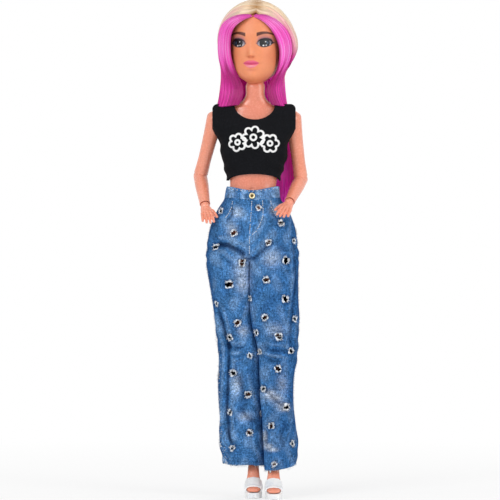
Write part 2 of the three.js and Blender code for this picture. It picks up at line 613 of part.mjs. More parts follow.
function buildLeg(side) {
  const sign = SIDES[side];
  const { hip, ankle, turn, total, knee } = legFrame(side);
  const frame = new THREE.Matrix4().compose(hip, turn, new THREE.Vector3(1, 1, 1));
  const kneeFrame = frame.clone().multiply(new THREE.Matrix4().makeTranslation(0, 0, -knee));

  // Thigh: a ball at the hip, a fork at the knee
  const stem = limb([
    [2, HIP_BALL - 0.8, HIP_BALL - 0.8],
    [10, THIGH_RADIUS, THIGH_RADIUS + 1],
    [0.45 * knee, THIGH_RADIUS - 1, THIGH_RADIUS + 0.2],
    [0.75 * knee, KNEE_RADIUS + 0.1, KNEE_RADIUS + 1],
    [knee - 3, KNEE_RADIUS - 0.4, KNEE_RADIUS - 0.2],
    [knee, KNEE_RADIUS - 0.6, KNEE_RADIUS - 0.6],
  ], 10);
  const round = ball(KNEE_DOME, 0, 0, -knee, 8);
  const shape = moved(joined(ball(HIP_BALL, 0, 0, 0, 10), stem, round), frame);
  const medial = PELVIS_SHIFT + sign * (CROTCH_HALF + GAP);
  const across = sign > 0
    ? box(-FAR, medial, -FAR, FAR, -FAR, FAR)
    : box(medial, FAR, -FAR, FAR, -FAR, FAR);
  const end = PELVIS_SHIFT + sign * (HIP_SPREAD + HIP_BALL - 1.6);
  const axleBore = rod(HIP_AXLE_RADIUS + GAP / 3, [-FAR, 0, HIP_HEIGHT], [FAR, 0, HIP_HEIGHT], 12);
  const headRoom = rod(HIP_AXLE_RADIUS + 1.5, [end - sign * (1.2 + GAP), 0, HIP_HEIGHT],
    [end + sign * 9, 0, HIP_HEIGHT], 8);
  const half = KNEE_EYE.thick / 2 + GAP;
  const fork = moved(joined(
    rod(KNEE_EYE.radius + GAP, [-half, 0, 0], [half, 0, 0], 14),
    box(-half, half, -3, 20, -20, KNEE_EYE.radius + GAP),
    box(-half, half, -20, 20, -20, 0)), kneeFrame);
  const kneeBore = moved(rod(KNEE_EYE.pin + GAP / 3, [-30, 0, 0], [30, 0, 0], 8), kneeFrame);
  place(figure, `thigh_${side}`,
    largest(cut(shape, across, axleBore, headRoom, fork, kneeBore)), SKIN);
  const pinHalf = KNEE_RADIUS - 1;
  place(figure, `knee_pin_${side}`,
    moved(rod(KNEE_EYE.pin, [-pinHalf, 0, 0], [pinHalf, 0, 0], 8), kneeFrame), PEG);

  // Lower leg: a tongue in the fork, the shin and the arched foot in one piece
  const shinLength = total - knee;
  const shin = limb([
    [KNEE_DOME + GAP + 0.2, KNEE_RADIUS - 1.2, KNEE_RADIUS - 1.2, 0.3],
    [0.2 * shinLength, CALF_RADIUS - 0.4, CALF_RADIUS, 0.6],
    [0.36 * shinLength, CALF_RADIUS, CALF_RADIUS + 0.6, 1],
    [0.6 * shinLength, CALF_RADIUS - 1, CALF_RADIUS - 0.6, 0.7],
    [0.85 * shinLength, ANKLE_RADIUS - 0.2, ANKLE_RADIUS + 0.1, 0.1],
    [shinLength, ANKLE_RADIUS, ANKLE_RADIUS],
    [shinLength + 2, ANKLE_RADIUS - 0.2, ANKLE_RADIUS],
  ], 12);
  const thin = KNEE_EYE.thick / 2;
  const tongue = joined(
    rod(KNEE_EYE.radius, [-thin, 0, 0], [thin, 0, 0], 14),
    box(-thin, thin, -2.6, 2.6, -KNEE_DOME - 2, 0));
  const cap = ball(KNEE_DOME + GAP, 0, 0, 0, 10);
  const leg = moved(joined(cut(shin, cap), tongue), kneeFrame);
  const foot = moved(footLoft(0), new THREE.Matrix4().makeTranslation(ankle.x, ankle.y, 0));
  place(figure, `lower_leg_${side}`, largest(cut(joined(leg, foot), kneeBore)), SKIN);

  // Jeans leg: thigh, knee and calf lengths of one tube
  const kneeTop = KNEE_HEIGHT + KNEE_CLOTH;
  const kneeLow = KNEE_HEIGHT - KNEE_CLOTH;
  place(figure, `jeans_thigh_${side}`,
    legTube(side, kneeTop + GAP / 2, THIGH_CLOTH_TOP - GAP, 4), BLUE);
  place(figure, `jeans_knee_${side}`, legTube(side, kneeLow + GAP / 2, kneeTop - GAP / 2, 6), BLUE);
  place(figure, `jeans_calf_${side}`, legTube(side, HEM_HEIGHT, kneeLow - GAP / 2, 7), BLUE);
}

// Platform sandal with a heel block and a wide band over the toes
const SANDAL_REACH = 8;
const BAND = { front: 16.4, back: 9.3 };

function buildSandal(side) {
  const { x, y } = ANKLES[side];
  const toe = 20;
  const ballBreak = 11;
  const heelBack = 5.4;
  const profile = new THREE.Shape();
  profile.moveTo(-toe, 0.8);
  profile.lineTo(-toe + 0.8, 0);
  profile.lineTo(-ballBreak + 0.5, 0);
  profile.quadraticCurveTo(-6, SOLE_THICKNESS, -0.4, HEEL_HEIGHT - 4);
  profile.lineTo(0.9, 0);
  profile.lineTo(heelBack - 0.4, 0);
  profile.lineTo(heelBack, HEEL_HEIGHT + 0.4);
  profile.lineTo(1, HEEL_HEIGHT - 0.6);
  profile.quadraticCurveTo(-5, HEEL_HEIGHT - 3, -ballBreak, SOLE_THICKNESS);
  profile.lineTo(-toe + 0.6, SOLE_THICKNESS);
  profile.lineTo(-toe, SOLE_THICKNESS - 0.6);
  const fromSide = drawnOut(profile, 2 * SANDAL_REACH, 3);
  fromSide.translate(0, 0, -SANDAL_REACH);
  fromSide.applyMatrix4(new THREE.Matrix4().set(0, 0, 1, 0, 1, 0, 0, 0, 0, 1, 0, 0, 0, 0, 0, 1));
  const plan = new THREE.Shape();
  const round = 0.7;
  plan.moveTo(0, -toe - round);
  plan.bezierCurveTo(4.6, -toe - round, 5.4, -14, 5.2, -11);
  plan.bezierCurveTo(5, -6, 3.8, -3, 3.8, 1);
  plan.bezierCurveTo(3.8, 4.6, 2.2, heelBack + round, 0, heelBack + round);
  plan.bezierCurveTo(-2.2, heelBack + round, -3.8, 4.6, -3.8, 1);
  plan.bezierCurveTo(-3.8, -3, -5, -6, -5.2, -11);
  plan.bezierCurveTo(-5.4, -14, -4.6, -toe - round, 0, -toe - round);
  const fromAbove = drawnOut(plan, 2 * HEEL_HEIGHT, 3);
  fromAbove.translate(0, 0, -1);
  const sole = solid(fromSide).intersect(solid(fromAbove));
  const band = footLoft(GAP + BAND_WALL, FOOT.slice(5, 9)).intersect(
    box(-SANDAL_REACH, SANDAL_REACH, -BAND.front, -BAND.back, SOLE_THICKNESS - 0.5, FAR));
  const foot = footLoft(0.8 * GAP);
  const shoe = cut(joined(sole, band), foot);
  place(figure, `sandal_${side}`,
    moved(largest(shoe), new THREE.Matrix4().makeTranslation(x, y, 0)), WHITE);
}

// Arms
function buildArm(side) {
  const sign = SIDES[side];
  const pose = ARM_POSE[side];
  const shoulder = new THREE.Group();
  shoulder.name = `shoulder_swing_${side}`;
  shoulder.position.set(sign * SHOULDER_SPREAD, 0, SHOULDER_HEIGHT);
  shoulder.rotation.x = degToRad(pose.swing);
  figure.add(shoulder);
  // The shoulder eye turns about Y, its stem points into the trunk
  const eyeTurn = new THREE.Matrix4().makeRotationY(-sign * Math.PI / 2)
    .multiply(new THREE.Matrix4().makeRotationZ(Math.PI / 2));
  place(shoulder, `shoulder_peg_${side}`, moved(eyeLink(SHOULDER_EYE), eyeTurn), PEG);

  const arm = new THREE.Group();
  arm.name = `shoulder_lift_${side}`;
  arm.rotation.y = degToRad(-sign * pose.lift);
  shoulder.add(arm);
  const openTo = 100;
  const slot = moved(eyeSlot(SHOULDER_EYE, openTo, 12),
    new THREE.Matrix4().makeRotationZ(-sign * Math.PI / 2));
  const bore = moved(pinBore(SHOULDER_EYE), new THREE.Matrix4().makeRotationZ(Math.PI / 2));
  const upper = joined(
    ball(SHOULDER_BALL, 0, 0, 0, 10),
    limb([
      [1, SHOULDER_BALL - 0.5, SHOULDER_BALL - 0.5],
      [0.3 * UPPER_ARM_LENGTH, ARM_RADIUS + 0.3, ARM_RADIUS + 0.4],
      [0.7 * UPPER_ARM_LENGTH, ARM_RADIUS - 0.2, ARM_RADIUS],
      [UPPER_ARM_LENGTH, ELBOW_RADIUS + 0.1, ELBOW_RADIUS + 0.1],
    ], 10));
  const elbow = new THREE.Matrix4().makeTranslation(0, 0, -UPPER_ARM_LENGTH);
  const seat = ball(ELBOW_RADIUS + 1.8 * GAP, 0, 0, -UPPER_ARM_LENGTH, 10);
  const rim = elbowRoom(pose);
  const stemRoom = moved(stemBore(ELBOW_EYE), elbow);
  place(arm, `upper_arm_${side}`,
    largest(cut(upper, seat, moved(rim, elbow), stemRoom, slot, bore)), SKIN);
  place(arm, `shoulder_pin_${side}`, moved(pin(SHOULDER_EYE, SHOULDER_BALL - 1),
    new THREE.Matrix4().makeRotationZ(Math.PI / 2)), PEG);

  const elbowTwist = new THREE.Group();
  elbowTwist.name = `elbow_twist_${side}`;
  elbowTwist.position.z = -UPPER_ARM_LENGTH;
  elbowTwist.rotation.z = degToRad(pose.twist);
  arm.add(elbowTwist);
  place(elbowTwist, `elbow_link_${side}`, eyeLink(ELBOW_EYE), PEG);

  const lower = new THREE.Group();
  lower.name = `elbow_bend_${side}`;
  lower.rotation.x = degToRad(pose.bend);
  elbowTwist.add(lower);
  const wrist = new THREE.Matrix4().makeTranslation(0, 0, -FOREARM_LENGTH);
  const forearm = joined(
    ball(ELBOW_RADIUS, 0, 0, 0, 12),
    limb([
      [0.5, ELBOW_RADIUS - 0.15, ELBOW_RADIUS - 0.15],
      [0.3 * FOREARM_LENGTH, ELBOW_RADIUS, ELBOW_RADIUS],
      [0.8 * FOREARM_LENGTH, WRIST_RADIUS + 0.4, WRIST_RADIUS + 0.2],
      [FOREARM_LENGTH, WRIST_RADIUS + 0.25, WRIST_RADIUS + 0.1],
    ], 10));
  const wristCut = joined(
    ball(WRIST_RADIUS + 1.8 * GAP, 0, 0, -FOREARM_LENGTH, 8),
    box(-9, 9, -9, 9, -FOREARM_LENGTH - 9, -FOREARM_LENGTH + WRIST_RIM_RISE));
  place(lower, `forearm_${side}`, largest(cut(forearm, eyeSlot(ELBOW_EYE, 100, 12),
    pinBore(ELBOW_EYE), wristCut, moved(stemBore(WRIST_EYE), wrist))), SKIN);
  place(lower, `elbow_pin_${side}`, pin(ELBOW_EYE, ELBOW_RADIUS - 0.9), PEG);

  const wristTwist = new THREE.Group();
  wristTwist.name = `wrist_twist_${side}`;
  wristTwist.position.z = -FOREARM_LENGTH;
  wristTwist.rotation.z = degToRad(pose.wristTwist);
  lower.add(wristTwist);
  place(wristTwist, `wrist_link_${side}`, eyeLink(WRIST_EYE), PEG);

  const hand = new THREE.Group();
  hand.name = `wrist_bend_${side}`;
  hand.rotation.x = degToRad(pose.wristBend);
  wristTwist.add(hand);
  const slotBoth = joined(eyeSlot(WRIST_EYE, 50, 6), eyeSlot(WRIST_EYE, -60, 6));
  place(hand, `hand_${side}`,
    largest(cut(handSolid(-sign), slotBoth, pinBore(WRIST_EYE))), SKIN);
  place(hand, `wrist_pin_${side}`, pin(WRIST_EYE, WRIST_RADIUS - 0.6), PEG);
}

// Room that the forearm sweeps through as it bends and turns below the upper arm
function elbowRoom(pose) {
  const sweep = [];
  for (const turn of [-40, 0, 40]) {
    for (const bend of [50, 100]) {
      const turned = new THREE.Matrix4().makeRotationZ(degToRad(pose.twist + turn))
        .multiply(new THREE.Matrix4().makeRotationX(degToRad(-bend)));
      const arm = rod(ELBOW_RADIUS + 2 * GAP, [0, 0, 0], [0, 0, -14], 7);
      sweep.push(moved(arm, turned));
    }
  }
  return joined(box(-9, 9, -9, 9, -9, -0.4), ...sweep);
}

// Hand hanging down -Z, back of the hand towards -Y, thumb on the given side of X
function handSolid(thumbSide) {
  const palm = limb([
    [1, 2.1, WRIST_RADIUS - 0.5],
    [3, 2.9, 2],
    [0.7 * PALM_LENGTH, 3.9, 1.6],
    [PALM_LENGTH, 4.1, 1.3],
    [PALM_LENGTH + 1.4, 3.8, 1],
  ], 8);
  const digit = (points, radii) => loft(points.map(([x, y, z], k) =>
    oval(5, radii[k], radii[k], radii[k]).map(([px, py]) => [x + px, y + py, z])).toReversed());
  const lengths = [0.86, 1, 0.93, 0.74];
  const fingers = lengths.map((share, i) => {
    const x = thumbSide * (3 - 2 * i);
    const spread = thumbSide * (0.5 - 0.35 * i);
    const reach = share * FINGER_LENGTH;
    return digit([
      [x, 0, -PALM_LENGTH + 1.6],
      [x, 0, -PALM_LENGTH - 0.4],
      [x + spread * 0.5, 0.2, -PALM_LENGTH - 0.5 * reach],
      [x + spread, 0.8, -PALM_LENGTH - reach + 0.6],
      [x + spread, 1, -PALM_LENGTH - reach],
    ], [0.9, 1.02, 0.95, 0.75, 0.35]);
  });
  const thumb = digit([
    [thumbSide * 1.6, 0.2, -2],
    [thumbSide * 3.2, 0.4, -4],
    [thumbSide * 5, 0.9, -6.8],
    [thumbSide * 5.9, 1.2, -9],
    [thumbSide * 6.1, 1.3, -9.9],
  ], [1, 1.3, 1.1, 0.85, 0.4]);
  return joined(ball(WRIST_RADIUS, 0, 0, 0, 8), palm, ...fingers, thumb);
}

// Head. Its own frame has the neck pivot at the origin and the face towards -Y.
const SOCKET_RADIUS = NECK_DOME + GAP;
const SOCKET_WALL = 1.7;
const KNOB_REACH = SOCKET_RADIUS + SOCKET_WALL + GAP;
const chin = CHIN_HEIGHT - NECK_PIVOT;
const headAt = through([
  [chin - 1.6, 6.8, 6.6, 6.8],
  [chin, 7.2, 11.6, 8],
  [chin + 1.8, 8.6, 13.4, 10],
  [chin + 5, 9.8, 14, 12.4],
  [chin + 10, 12.2, 14.4, 15],
  [chin + 16, 13.9, 15, 17],
  [chin + 23, FACE_HALF_WIDTH, FACE_DEPTH, 18],
  [chin + 30, FACE_HALF_WIDTH, FACE_DEPTH - 0.2, 18],
  [chin + 36, FACE_HALF_WIDTH - 1.4, FACE_DEPTH - 2, 16.4],
  [chin + 40.5, 10.4, 10.6, 12.4],
  [chin + 43.5, 6.4, 6.2, 7.4],
  [chin + HEAD_HEIGHT - 0.3, 1.4, 1.2, 1.6],
]);

// How far the features of the face stand out of its plain form
function feature(x, h) {
  const bump = (px, ph, wide, tall) => Math.exp(-(((x - px) / wide) ** 2) - ((h - ph) / tall) ** 2);
  const ridge = clamp((27 - h) / 10.6, 0, 1) * clamp((h - 14) / 1.8, 0, 1);
  const nose = NOSE_LENGTH * ridge * Math.exp(-((x / (1.1 + 0.9 * ridge)) ** 2));
  const lips = 1.1 * bump(0, 12, 4, 1.1) + 1.2 * bump(0, 10, 3.6, 1);
  const sockets = -1.3 * (bump(-7.8, 23.4, 4.4, 3) + bump(7.8, 23.4, 4.4, 3));
  const lids = 0.9 * (bump(-7.8, 23.4, 2.8, 1.8) + bump(7.8, 23.4, 2.8, 1.8));
  return nose + lips + sockets + lids + 0.9 * bump(0, 4.4, 3.2, 2.2)
    + 0.6 * (bump(-8, 17, 4, 4) + bump(8, 17, 4, 4));
}

function headLoft(grow, count, levels, detailed) {
  const from = chin - 1.6 - grow;
  const to = chin + HEAD_HEIGHT - 0.3 + grow;
  return loft(steps(0, 1, levels).map((share) => {
    const z = lerp(from, to, 0.5 - 0.5 * Math.cos(Math.PI * share));
    const [wide, front, back] = headAt(z);
    return oval(count, wide + grow, front + grow, back + grow, 2.15).map(([x, y], i) => {
      const turned = (2 * Math.PI * i) / count;
      const shift = detailed && Math.sin(turned) < -0.4 ? feature(x, z - chin) : 0;
      return [x, y - shift, z];
    });
  }));
}

function buildHead() {
  const turn = new THREE.Group();
  turn.name = "head_turn";
  turn.position.set(HEAD_SHIFT, 0, NECK_PIVOT);
  turn.rotation.z = degToRad(HEAD_YAW);
  figure.add(turn);
  const knobHead = ball(KNOB_REACH + 1.8, 0, 0, 0, 14)
    .subtract(ball(KNOB_REACH, 0, 0, 0, 14))
    .intersect(rod(5, [0, 0, 0], [0, 0, 30], 12));
  const knob = joined(
    rod(2.2, [0, 0, -NECK_LENGTH + 6.6], [0, 0, KNOB_REACH + 0.8], 10),
    rod(KNOB_FLANGE, [0, 0, -NECK_LENGTH + 6.3], [0, 0, -NECK_LENGTH + 8.9], 12),
    knobHead);
  place(turn, "neck_knob", knob, PEG);

  const outer = headLoft(0, 24, 16, true);
  const inner = headLoft(-VINYL_WALL, 10, 6, false);
  const socket = ball(SOCKET_RADIUS + SOCKET_WALL, 0, 0, 0, 12)
    .intersect(headLoft(-0.4, 14, 6, false));
  const room = ball(SOCKET_RADIUS + GAP, 0, 0, 0, 12);
  const mouth = rod(4.2, [0, 0, 0], [0, 0, KNOB_REACH], 12);
  const below = box(-30, 30, -30, 30, -30, chin - 1.6);
  place(turn, "head_shell",
    largest(cut(joined(cut(outer, inner), socket), room, mouth, below)), SKIN);
  buildHair(turn);
}

// Hair: a crown over the skull, two front locks and the fall down the back
const hairAt = through([
  [-8, 20, 8, 10, -2],
  [0, 20, 9, 14, -2],
  [10, 20.4, 12, 18, -1.6],
  [18, 22.6, 15.6, 20.6, 0],
  [26, HAIR_HALF_WIDTH - 0.2, 17.4, 21.8, 1.4],
  [34, HAIR_HALF_WIDTH, 18, 22, 1.6],
  [40, HAIR_HALF_WIDTH - 1.6, 17.4, 21.4, 1.6],
  [45, 19.6, 15, 19, 1.8],
  [49, 14.4, 11, 14.4, 2],
  [51.6, 9.6, 7.4, 9.6, 2],
  [53, 4, 3, 4, 2],
]);
const HAIR_TOP = 53;
const LOCK_DEPTH = 34;
const LOCK_REACH = 19;
const BACK_SHORT = { from: 9, height: 6 };

function hairLoft(from, to, inset, count = 20, levels = 8) {
  return loft(steps(from, to, levels).map((z) => {
    const [wide, front, back, shift] = hairAt(z);
    return oval(count, wide - inset, front - inset, back - inset, 2.2).map(([x, y], i) => {
      const wave = 1 + (i % 2 ? 0.012 : -0.012);
      return [x * wave + shift, y * wave, z];
    });
  }));
}

function buildHair(turn) {
  const skull = headLoft(1.2, 18, 12, false);
  const face = new THREE.Shape();
  face.moveTo(-0.6, chin + 41.6);
  face.bezierCurveTo(-9, chin + 38, -14.6, chin + 32, -14.2, chin + 22);
  face.bezierCurveTo(-13.6, chin + 12, -9, chin + 6, -8.4, -12);
  face.lineTo(9.4, -12);
  face.bezierCurveTo(10, chin + 6, 14, chin + 12, 14.8, chin + 22);
  face.bezierCurveTo(15.4, chin + 32, 9, chin + 38, 0.6, chin + 41.6);
  const opening = drawnOut(face, 2 * FACE_DEPTH, 5);
  opening.rotateX(Math.PI / 2);
  const open = solid(opening);
  const neck = rod(NECK_RADIUS + 5, [0, 0, -20], [0, 0, chin + 1], 16);
  const helmet = cut(hairLoft(-4, HAIR_TOP, 0), skull, open, neck,
    box(-FAR, FAR, BACK_SHORT.from, FAR, -FAR, BACK_SHORT.height));
  const lockSpace = (sign) => {
    const shape = new THREE.Shape();
    shape.moveTo(sign * 0.8, chin + 41);
    shape.quadraticCurveTo(sign * 13, chin + 37, sign * LOCK_REACH, chin + 20);
    shape.lineTo(sign * LOCK_REACH, -30);
    shape.lineTo(sign * 0.8, -30);
    const wedge = drawnOut(shape, LOCK_DEPTH, 5);
    wedge.rotateX(Math.PI / 2);
    return solid(wedge);
  };
  const names = { "-1": "hair_lock_right", 1: "hair_lock_left" };
  let crown = helmet;
  for (const sign of [-1, 1]) {
    const space = lockSpace(sign);
    place(turn, names[sign], largest(helmet.intersect(space)), PINK);
    crown = crown.subtract(space);
  }
  place(turn, "hair_crown", largest(cut(crown, box(-FAR, FAR, -FAR, FAR, -FAR, chin + 2))), BLOND);
}

// Long hair behind the back: height, middle, half width, nearest and farthest depth
const FALL_STRANDS = 20;
const STRAND_GROOVE = 0.06;

function buildFall() {
  const top = CHIN_HEIGHT + 1.4;
  const low = top - HAIR_LENGTH;
  const fallAt = through([
    [low, 6, 5, 17, 19.4],
    [low + 0.12 * HAIR_LENGTH, 5.5, 12, 16.2, 19.6],
    [low + 0.3 * HAIR_LENGTH, 4.6, 16.6, 13.6, 18.4],
    [low + 0.5 * HAIR_LENGTH, 4.2, 17.6, 12, 17.6],
    [low + 0.7 * HAIR_LENGTH, 3.6, 17.6, 11.6, 17.6],
    [low + 0.85 * HAIR_LENGTH, 2, 17.4, 11.2, 18.4],
    [top, 0.6, 17, 10, 20],
  ]);
  const fall = loft(steps(low, top, 11).map((z) => {
    const [middle, wide, near, farther] = fallAt(z);
    const depth = (farther - near) / 2;
    return oval(FALL_STRANDS, wide, depth, depth, 2.4).map(([x, y], i) =>
      [x + middle, near + depth + y * (i % 2 ? 1 - STRAND_GROOVE : 1 + STRAND_GROOVE), z]);
  }));
  place(figure, "hair_fall", fall, PINK);
}

buildTrunk();
buildTop();
buildJeans();
for (const side of Object.keys(SIDES)) {
  buildLeg(side);
  buildSandal(side);
  buildArm(side);
}
buildHead();
buildFall();

// The origin is on the floor, below the middle of the figure's box
root.updateWorldMatrix(true, true);
const middle = new THREE.Box3().setFromObject(figure, true).getCenter(new THREE.Vector3());
figure.position.set(-middle.x, -middle.y, 0);
export default root;
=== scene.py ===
import math
import bmesh
import bpy
import numpy as np
from mathutils import Matrix, Vector
from mathutils.bvhtree import BVHTree


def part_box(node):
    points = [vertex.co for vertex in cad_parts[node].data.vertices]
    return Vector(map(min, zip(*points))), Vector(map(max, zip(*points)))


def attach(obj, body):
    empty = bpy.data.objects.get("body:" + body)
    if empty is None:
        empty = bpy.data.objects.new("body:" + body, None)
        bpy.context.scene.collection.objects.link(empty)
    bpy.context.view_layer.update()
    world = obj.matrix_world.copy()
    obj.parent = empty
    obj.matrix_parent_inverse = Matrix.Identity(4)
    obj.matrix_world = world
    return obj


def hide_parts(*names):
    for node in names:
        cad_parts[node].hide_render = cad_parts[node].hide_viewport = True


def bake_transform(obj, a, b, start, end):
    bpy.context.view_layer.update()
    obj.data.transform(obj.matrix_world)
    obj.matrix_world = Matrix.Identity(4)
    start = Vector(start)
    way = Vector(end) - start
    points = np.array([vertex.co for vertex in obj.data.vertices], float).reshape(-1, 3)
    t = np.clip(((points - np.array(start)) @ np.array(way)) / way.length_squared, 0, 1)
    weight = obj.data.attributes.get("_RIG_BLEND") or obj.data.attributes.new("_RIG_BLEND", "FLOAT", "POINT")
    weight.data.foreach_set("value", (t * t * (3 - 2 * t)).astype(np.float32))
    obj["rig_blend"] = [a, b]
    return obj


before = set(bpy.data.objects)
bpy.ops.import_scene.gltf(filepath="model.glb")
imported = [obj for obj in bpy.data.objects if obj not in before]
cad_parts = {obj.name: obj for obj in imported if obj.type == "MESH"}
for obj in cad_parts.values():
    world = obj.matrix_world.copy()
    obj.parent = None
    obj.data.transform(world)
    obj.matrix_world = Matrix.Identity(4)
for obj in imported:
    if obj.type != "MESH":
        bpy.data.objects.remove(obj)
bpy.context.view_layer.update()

# Camera, lamps and floor
# A plain pale studio, seen from straight in front at the height of the thighs.
# All sizes below are millimetres of the standing figure, its spine at x = 0.
MM = 0.001
HIP = (-1.2, 0.0, 153.0)
axle_low, axle_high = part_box("hip_axle")
SHIFT = np.array((axle_low + axle_high) / 2) - np.array(HIP) * MM


def in_scene(x, y, z):
    """A place of the figure, given in millimetres, in the scene's metres."""
    return Vector((x, y, z)) * MM + Vector(SHIFT)


VIEW = {"distance": 2000.0, "height": 150.0, "span": 301.9, "x": -2.4, "top": 300.0}
camera_data = bpy.data.cameras.new("camera")
camera = bpy.data.objects.new("camera", camera_data)
bpy.context.scene.collection.objects.link(camera)
bpy.context.scene.camera = camera
camera.location = in_scene(VIEW["x"], -VIEW["distance"], VIEW["height"])
camera.rotation_euler = (math.radians(90), 0, 0)
camera_data.sensor_width = 36
camera_data.lens = 36 * VIEW["distance"] / VIEW["span"]
camera_data.shift_y = (VIEW["top"] - VIEW["span"] / 2 - VIEW["height"]) / VIEW["span"]
camera_data.clip_start = 0.05
camera_data.clip_end = 20

world = bpy.data.worlds.new("studio")
bpy.context.scene.world = world
world.use_nodes = True
tree = world.node_tree
sky = tree.nodes["Background"]
sky.inputs["Color"].default_value = (1, 1, 1, 1)
sky.inputs["Strength"].default_value = 0.52
seen = tree.nodes.new("ShaderNodeBackground")
seen.inputs["Color"].default_value = (1, 1, 1, 1)
seen.inputs["Strength"].default_value = 1.0
chosen = tree.nodes.new("ShaderNodeMixShader")


def seen_directly(tree):
    """1 for the rays that should find a white studio: from the camera, or off metal and gloss."""
    path = tree.nodes.new("ShaderNodeLightPath")
    either = path.outputs["Is Camera Ray"]
    for kind in ("Is Glossy Ray", "Is Transmission Ray"):
        larger = tree.nodes.new("ShaderNodeMath")
        larger.operation = "MAXIMUM"
        tree.links.new(either, larger.inputs[0])
        tree.links.new(path.outputs[kind], larger.inputs[1])
        either = larger.outputs[0]
    return either


tree.links.new(seen_directly(tree), chosen.inputs["Fac"])
tree.links.new(sky.outputs[0], chosen.inputs[1])
tree.links.new(seen.outputs[0], chosen.inputs[2])
tree.links.new(chosen.outputs[0], tree.nodes["World Output"].inputs["Surface"])


def lamp(name, spot, aim, size, power):
    data = bpy.data.lights.new(name, "AREA")
    data.shape = "RECTANGLE"
    data.size, data.size_y = size
    data.energy = power
    thing = bpy.data.objects.new(name, data)
    bpy.context.scene.collection.objects.link(thing)
    thing.location = spot
    thing.rotation_euler = (Vector(aim) - Vector(spot)).to_track_quat("-Z", "Y").to_euler()


lamp("key", (-0.55, -0.9, 0.75), (0, 0, 0.17), (0.5, 0.8), 5.2)
lamp("fill", (0.75, -0.7, 0.45), (0, 0, 0.15), (0.4, 0.9), 3.4)
lamp("back", (0.1, 0.9, 0.8), (0, 0, 0.15), (0.9, 0.5), 3.0)

# Trunk and neck
# Two hard shells of satin skin-coloured plastic, glued at the sides. Only the
# midriff, the chest and the neck show between the clothes.


def linear(red, green, blue):
    """An 8-bit screen colour as linear light."""
    return tuple(((v / 255 + 0.055) / 1.055) ** 2.4 if v > 10 else v / 3295 for v in (red, green, blue))


def through(rows):
    """A smooth curve through rows of (position, value, value ...)."""
    table = np.array(rows, float)
    at, values = table[:, 0], table[:, 1:]
    slopes = np.gradient(values, axis=0) / np.gradient(at)[:, None]

    def curve(where):
        where = np.clip(np.asarray(where, float), at[0], at[-1])
        k = np.clip(np.searchsorted(at, where) - 1, 0, len(at) - 2)
        span = at[k + 1] - at[k]
        t = ((where - at[k]) / span)[..., None]
        span = span[..., None]
        return ((1 + 2 * t) * (1 - t) ** 2 * values[k] + t * t * (3 - 2 * t) * values[k + 1]
                + t * (1 - t) ** 2 * span * slopes[k] + t * t * (t - 1) * span * slopes[k + 1]).T
    return curve


def oval(angle, wide, front, back, power=2.0):
    """A squared oval with its own front and back depth."""
    cos, sin = np.cos(angle), np.sin(angle)
    bend = 2 / power
    deep = np.where(sin > 0, back, front)
    return (wide * np.sign(cos) * np.abs(cos) ** bend, deep * np.sign(sin) * np.abs(sin) ** bend)


def smooth(low, high, value):
    t = np.clip((value - low) / (high - low), 0, 1)
    return t * t * (3 - 2 * t)


def carried(points, matrix):
    """Points moved and turned by a matrix."""
    turn = np.array(matrix)
    return points @ turn[:3, :3].T + turn[:3, 3]


def formed(name, across, along, place, material, frame_at=None, keep=1e-6):
    """A grid laid out by place(u, v) in millimetres, its doubled edges joined."""
    bm = bmesh.new()
    bmesh.ops.create_grid(bm, x_segments=across, y_segments=along, size=0.5)
    co = np.array([v.co for v in bm.verts])
    u, v = co[:, 0] + 0.5, co[:, 1] + 0.5
    points = np.stack(place(u, v), axis=1)
    if frame_at is not None:
        points = carried(points, frame_at)
    points = points * MM + SHIFT
    for vert, point in zip(bm.verts, points):
        vert.co = point
    bmesh.ops.remove_doubles(bm, verts=bm.verts, dist=keep)
    bmesh.ops.dissolve_degenerate(bm, dist=keep, edges=bm.edges)
    bmesh.ops.recalc_face_normals(bm, faces=bm.faces)
    return piece(name, bm, material)


def piece(name, bm, material):
    """The finished bmesh as an object of the scene."""
    mesh = bpy.data.meshes.new(name)
    bm.to_mesh(mesh)
    bm.free()
    mesh.materials.append(material)
    mesh.polygons.foreach_set("use_smooth", [True] * len(mesh.polygons))
    thing = bpy.data.objects.new(name, mesh)
    bpy.context.scene.collection.objects.link(thing)
    return thing


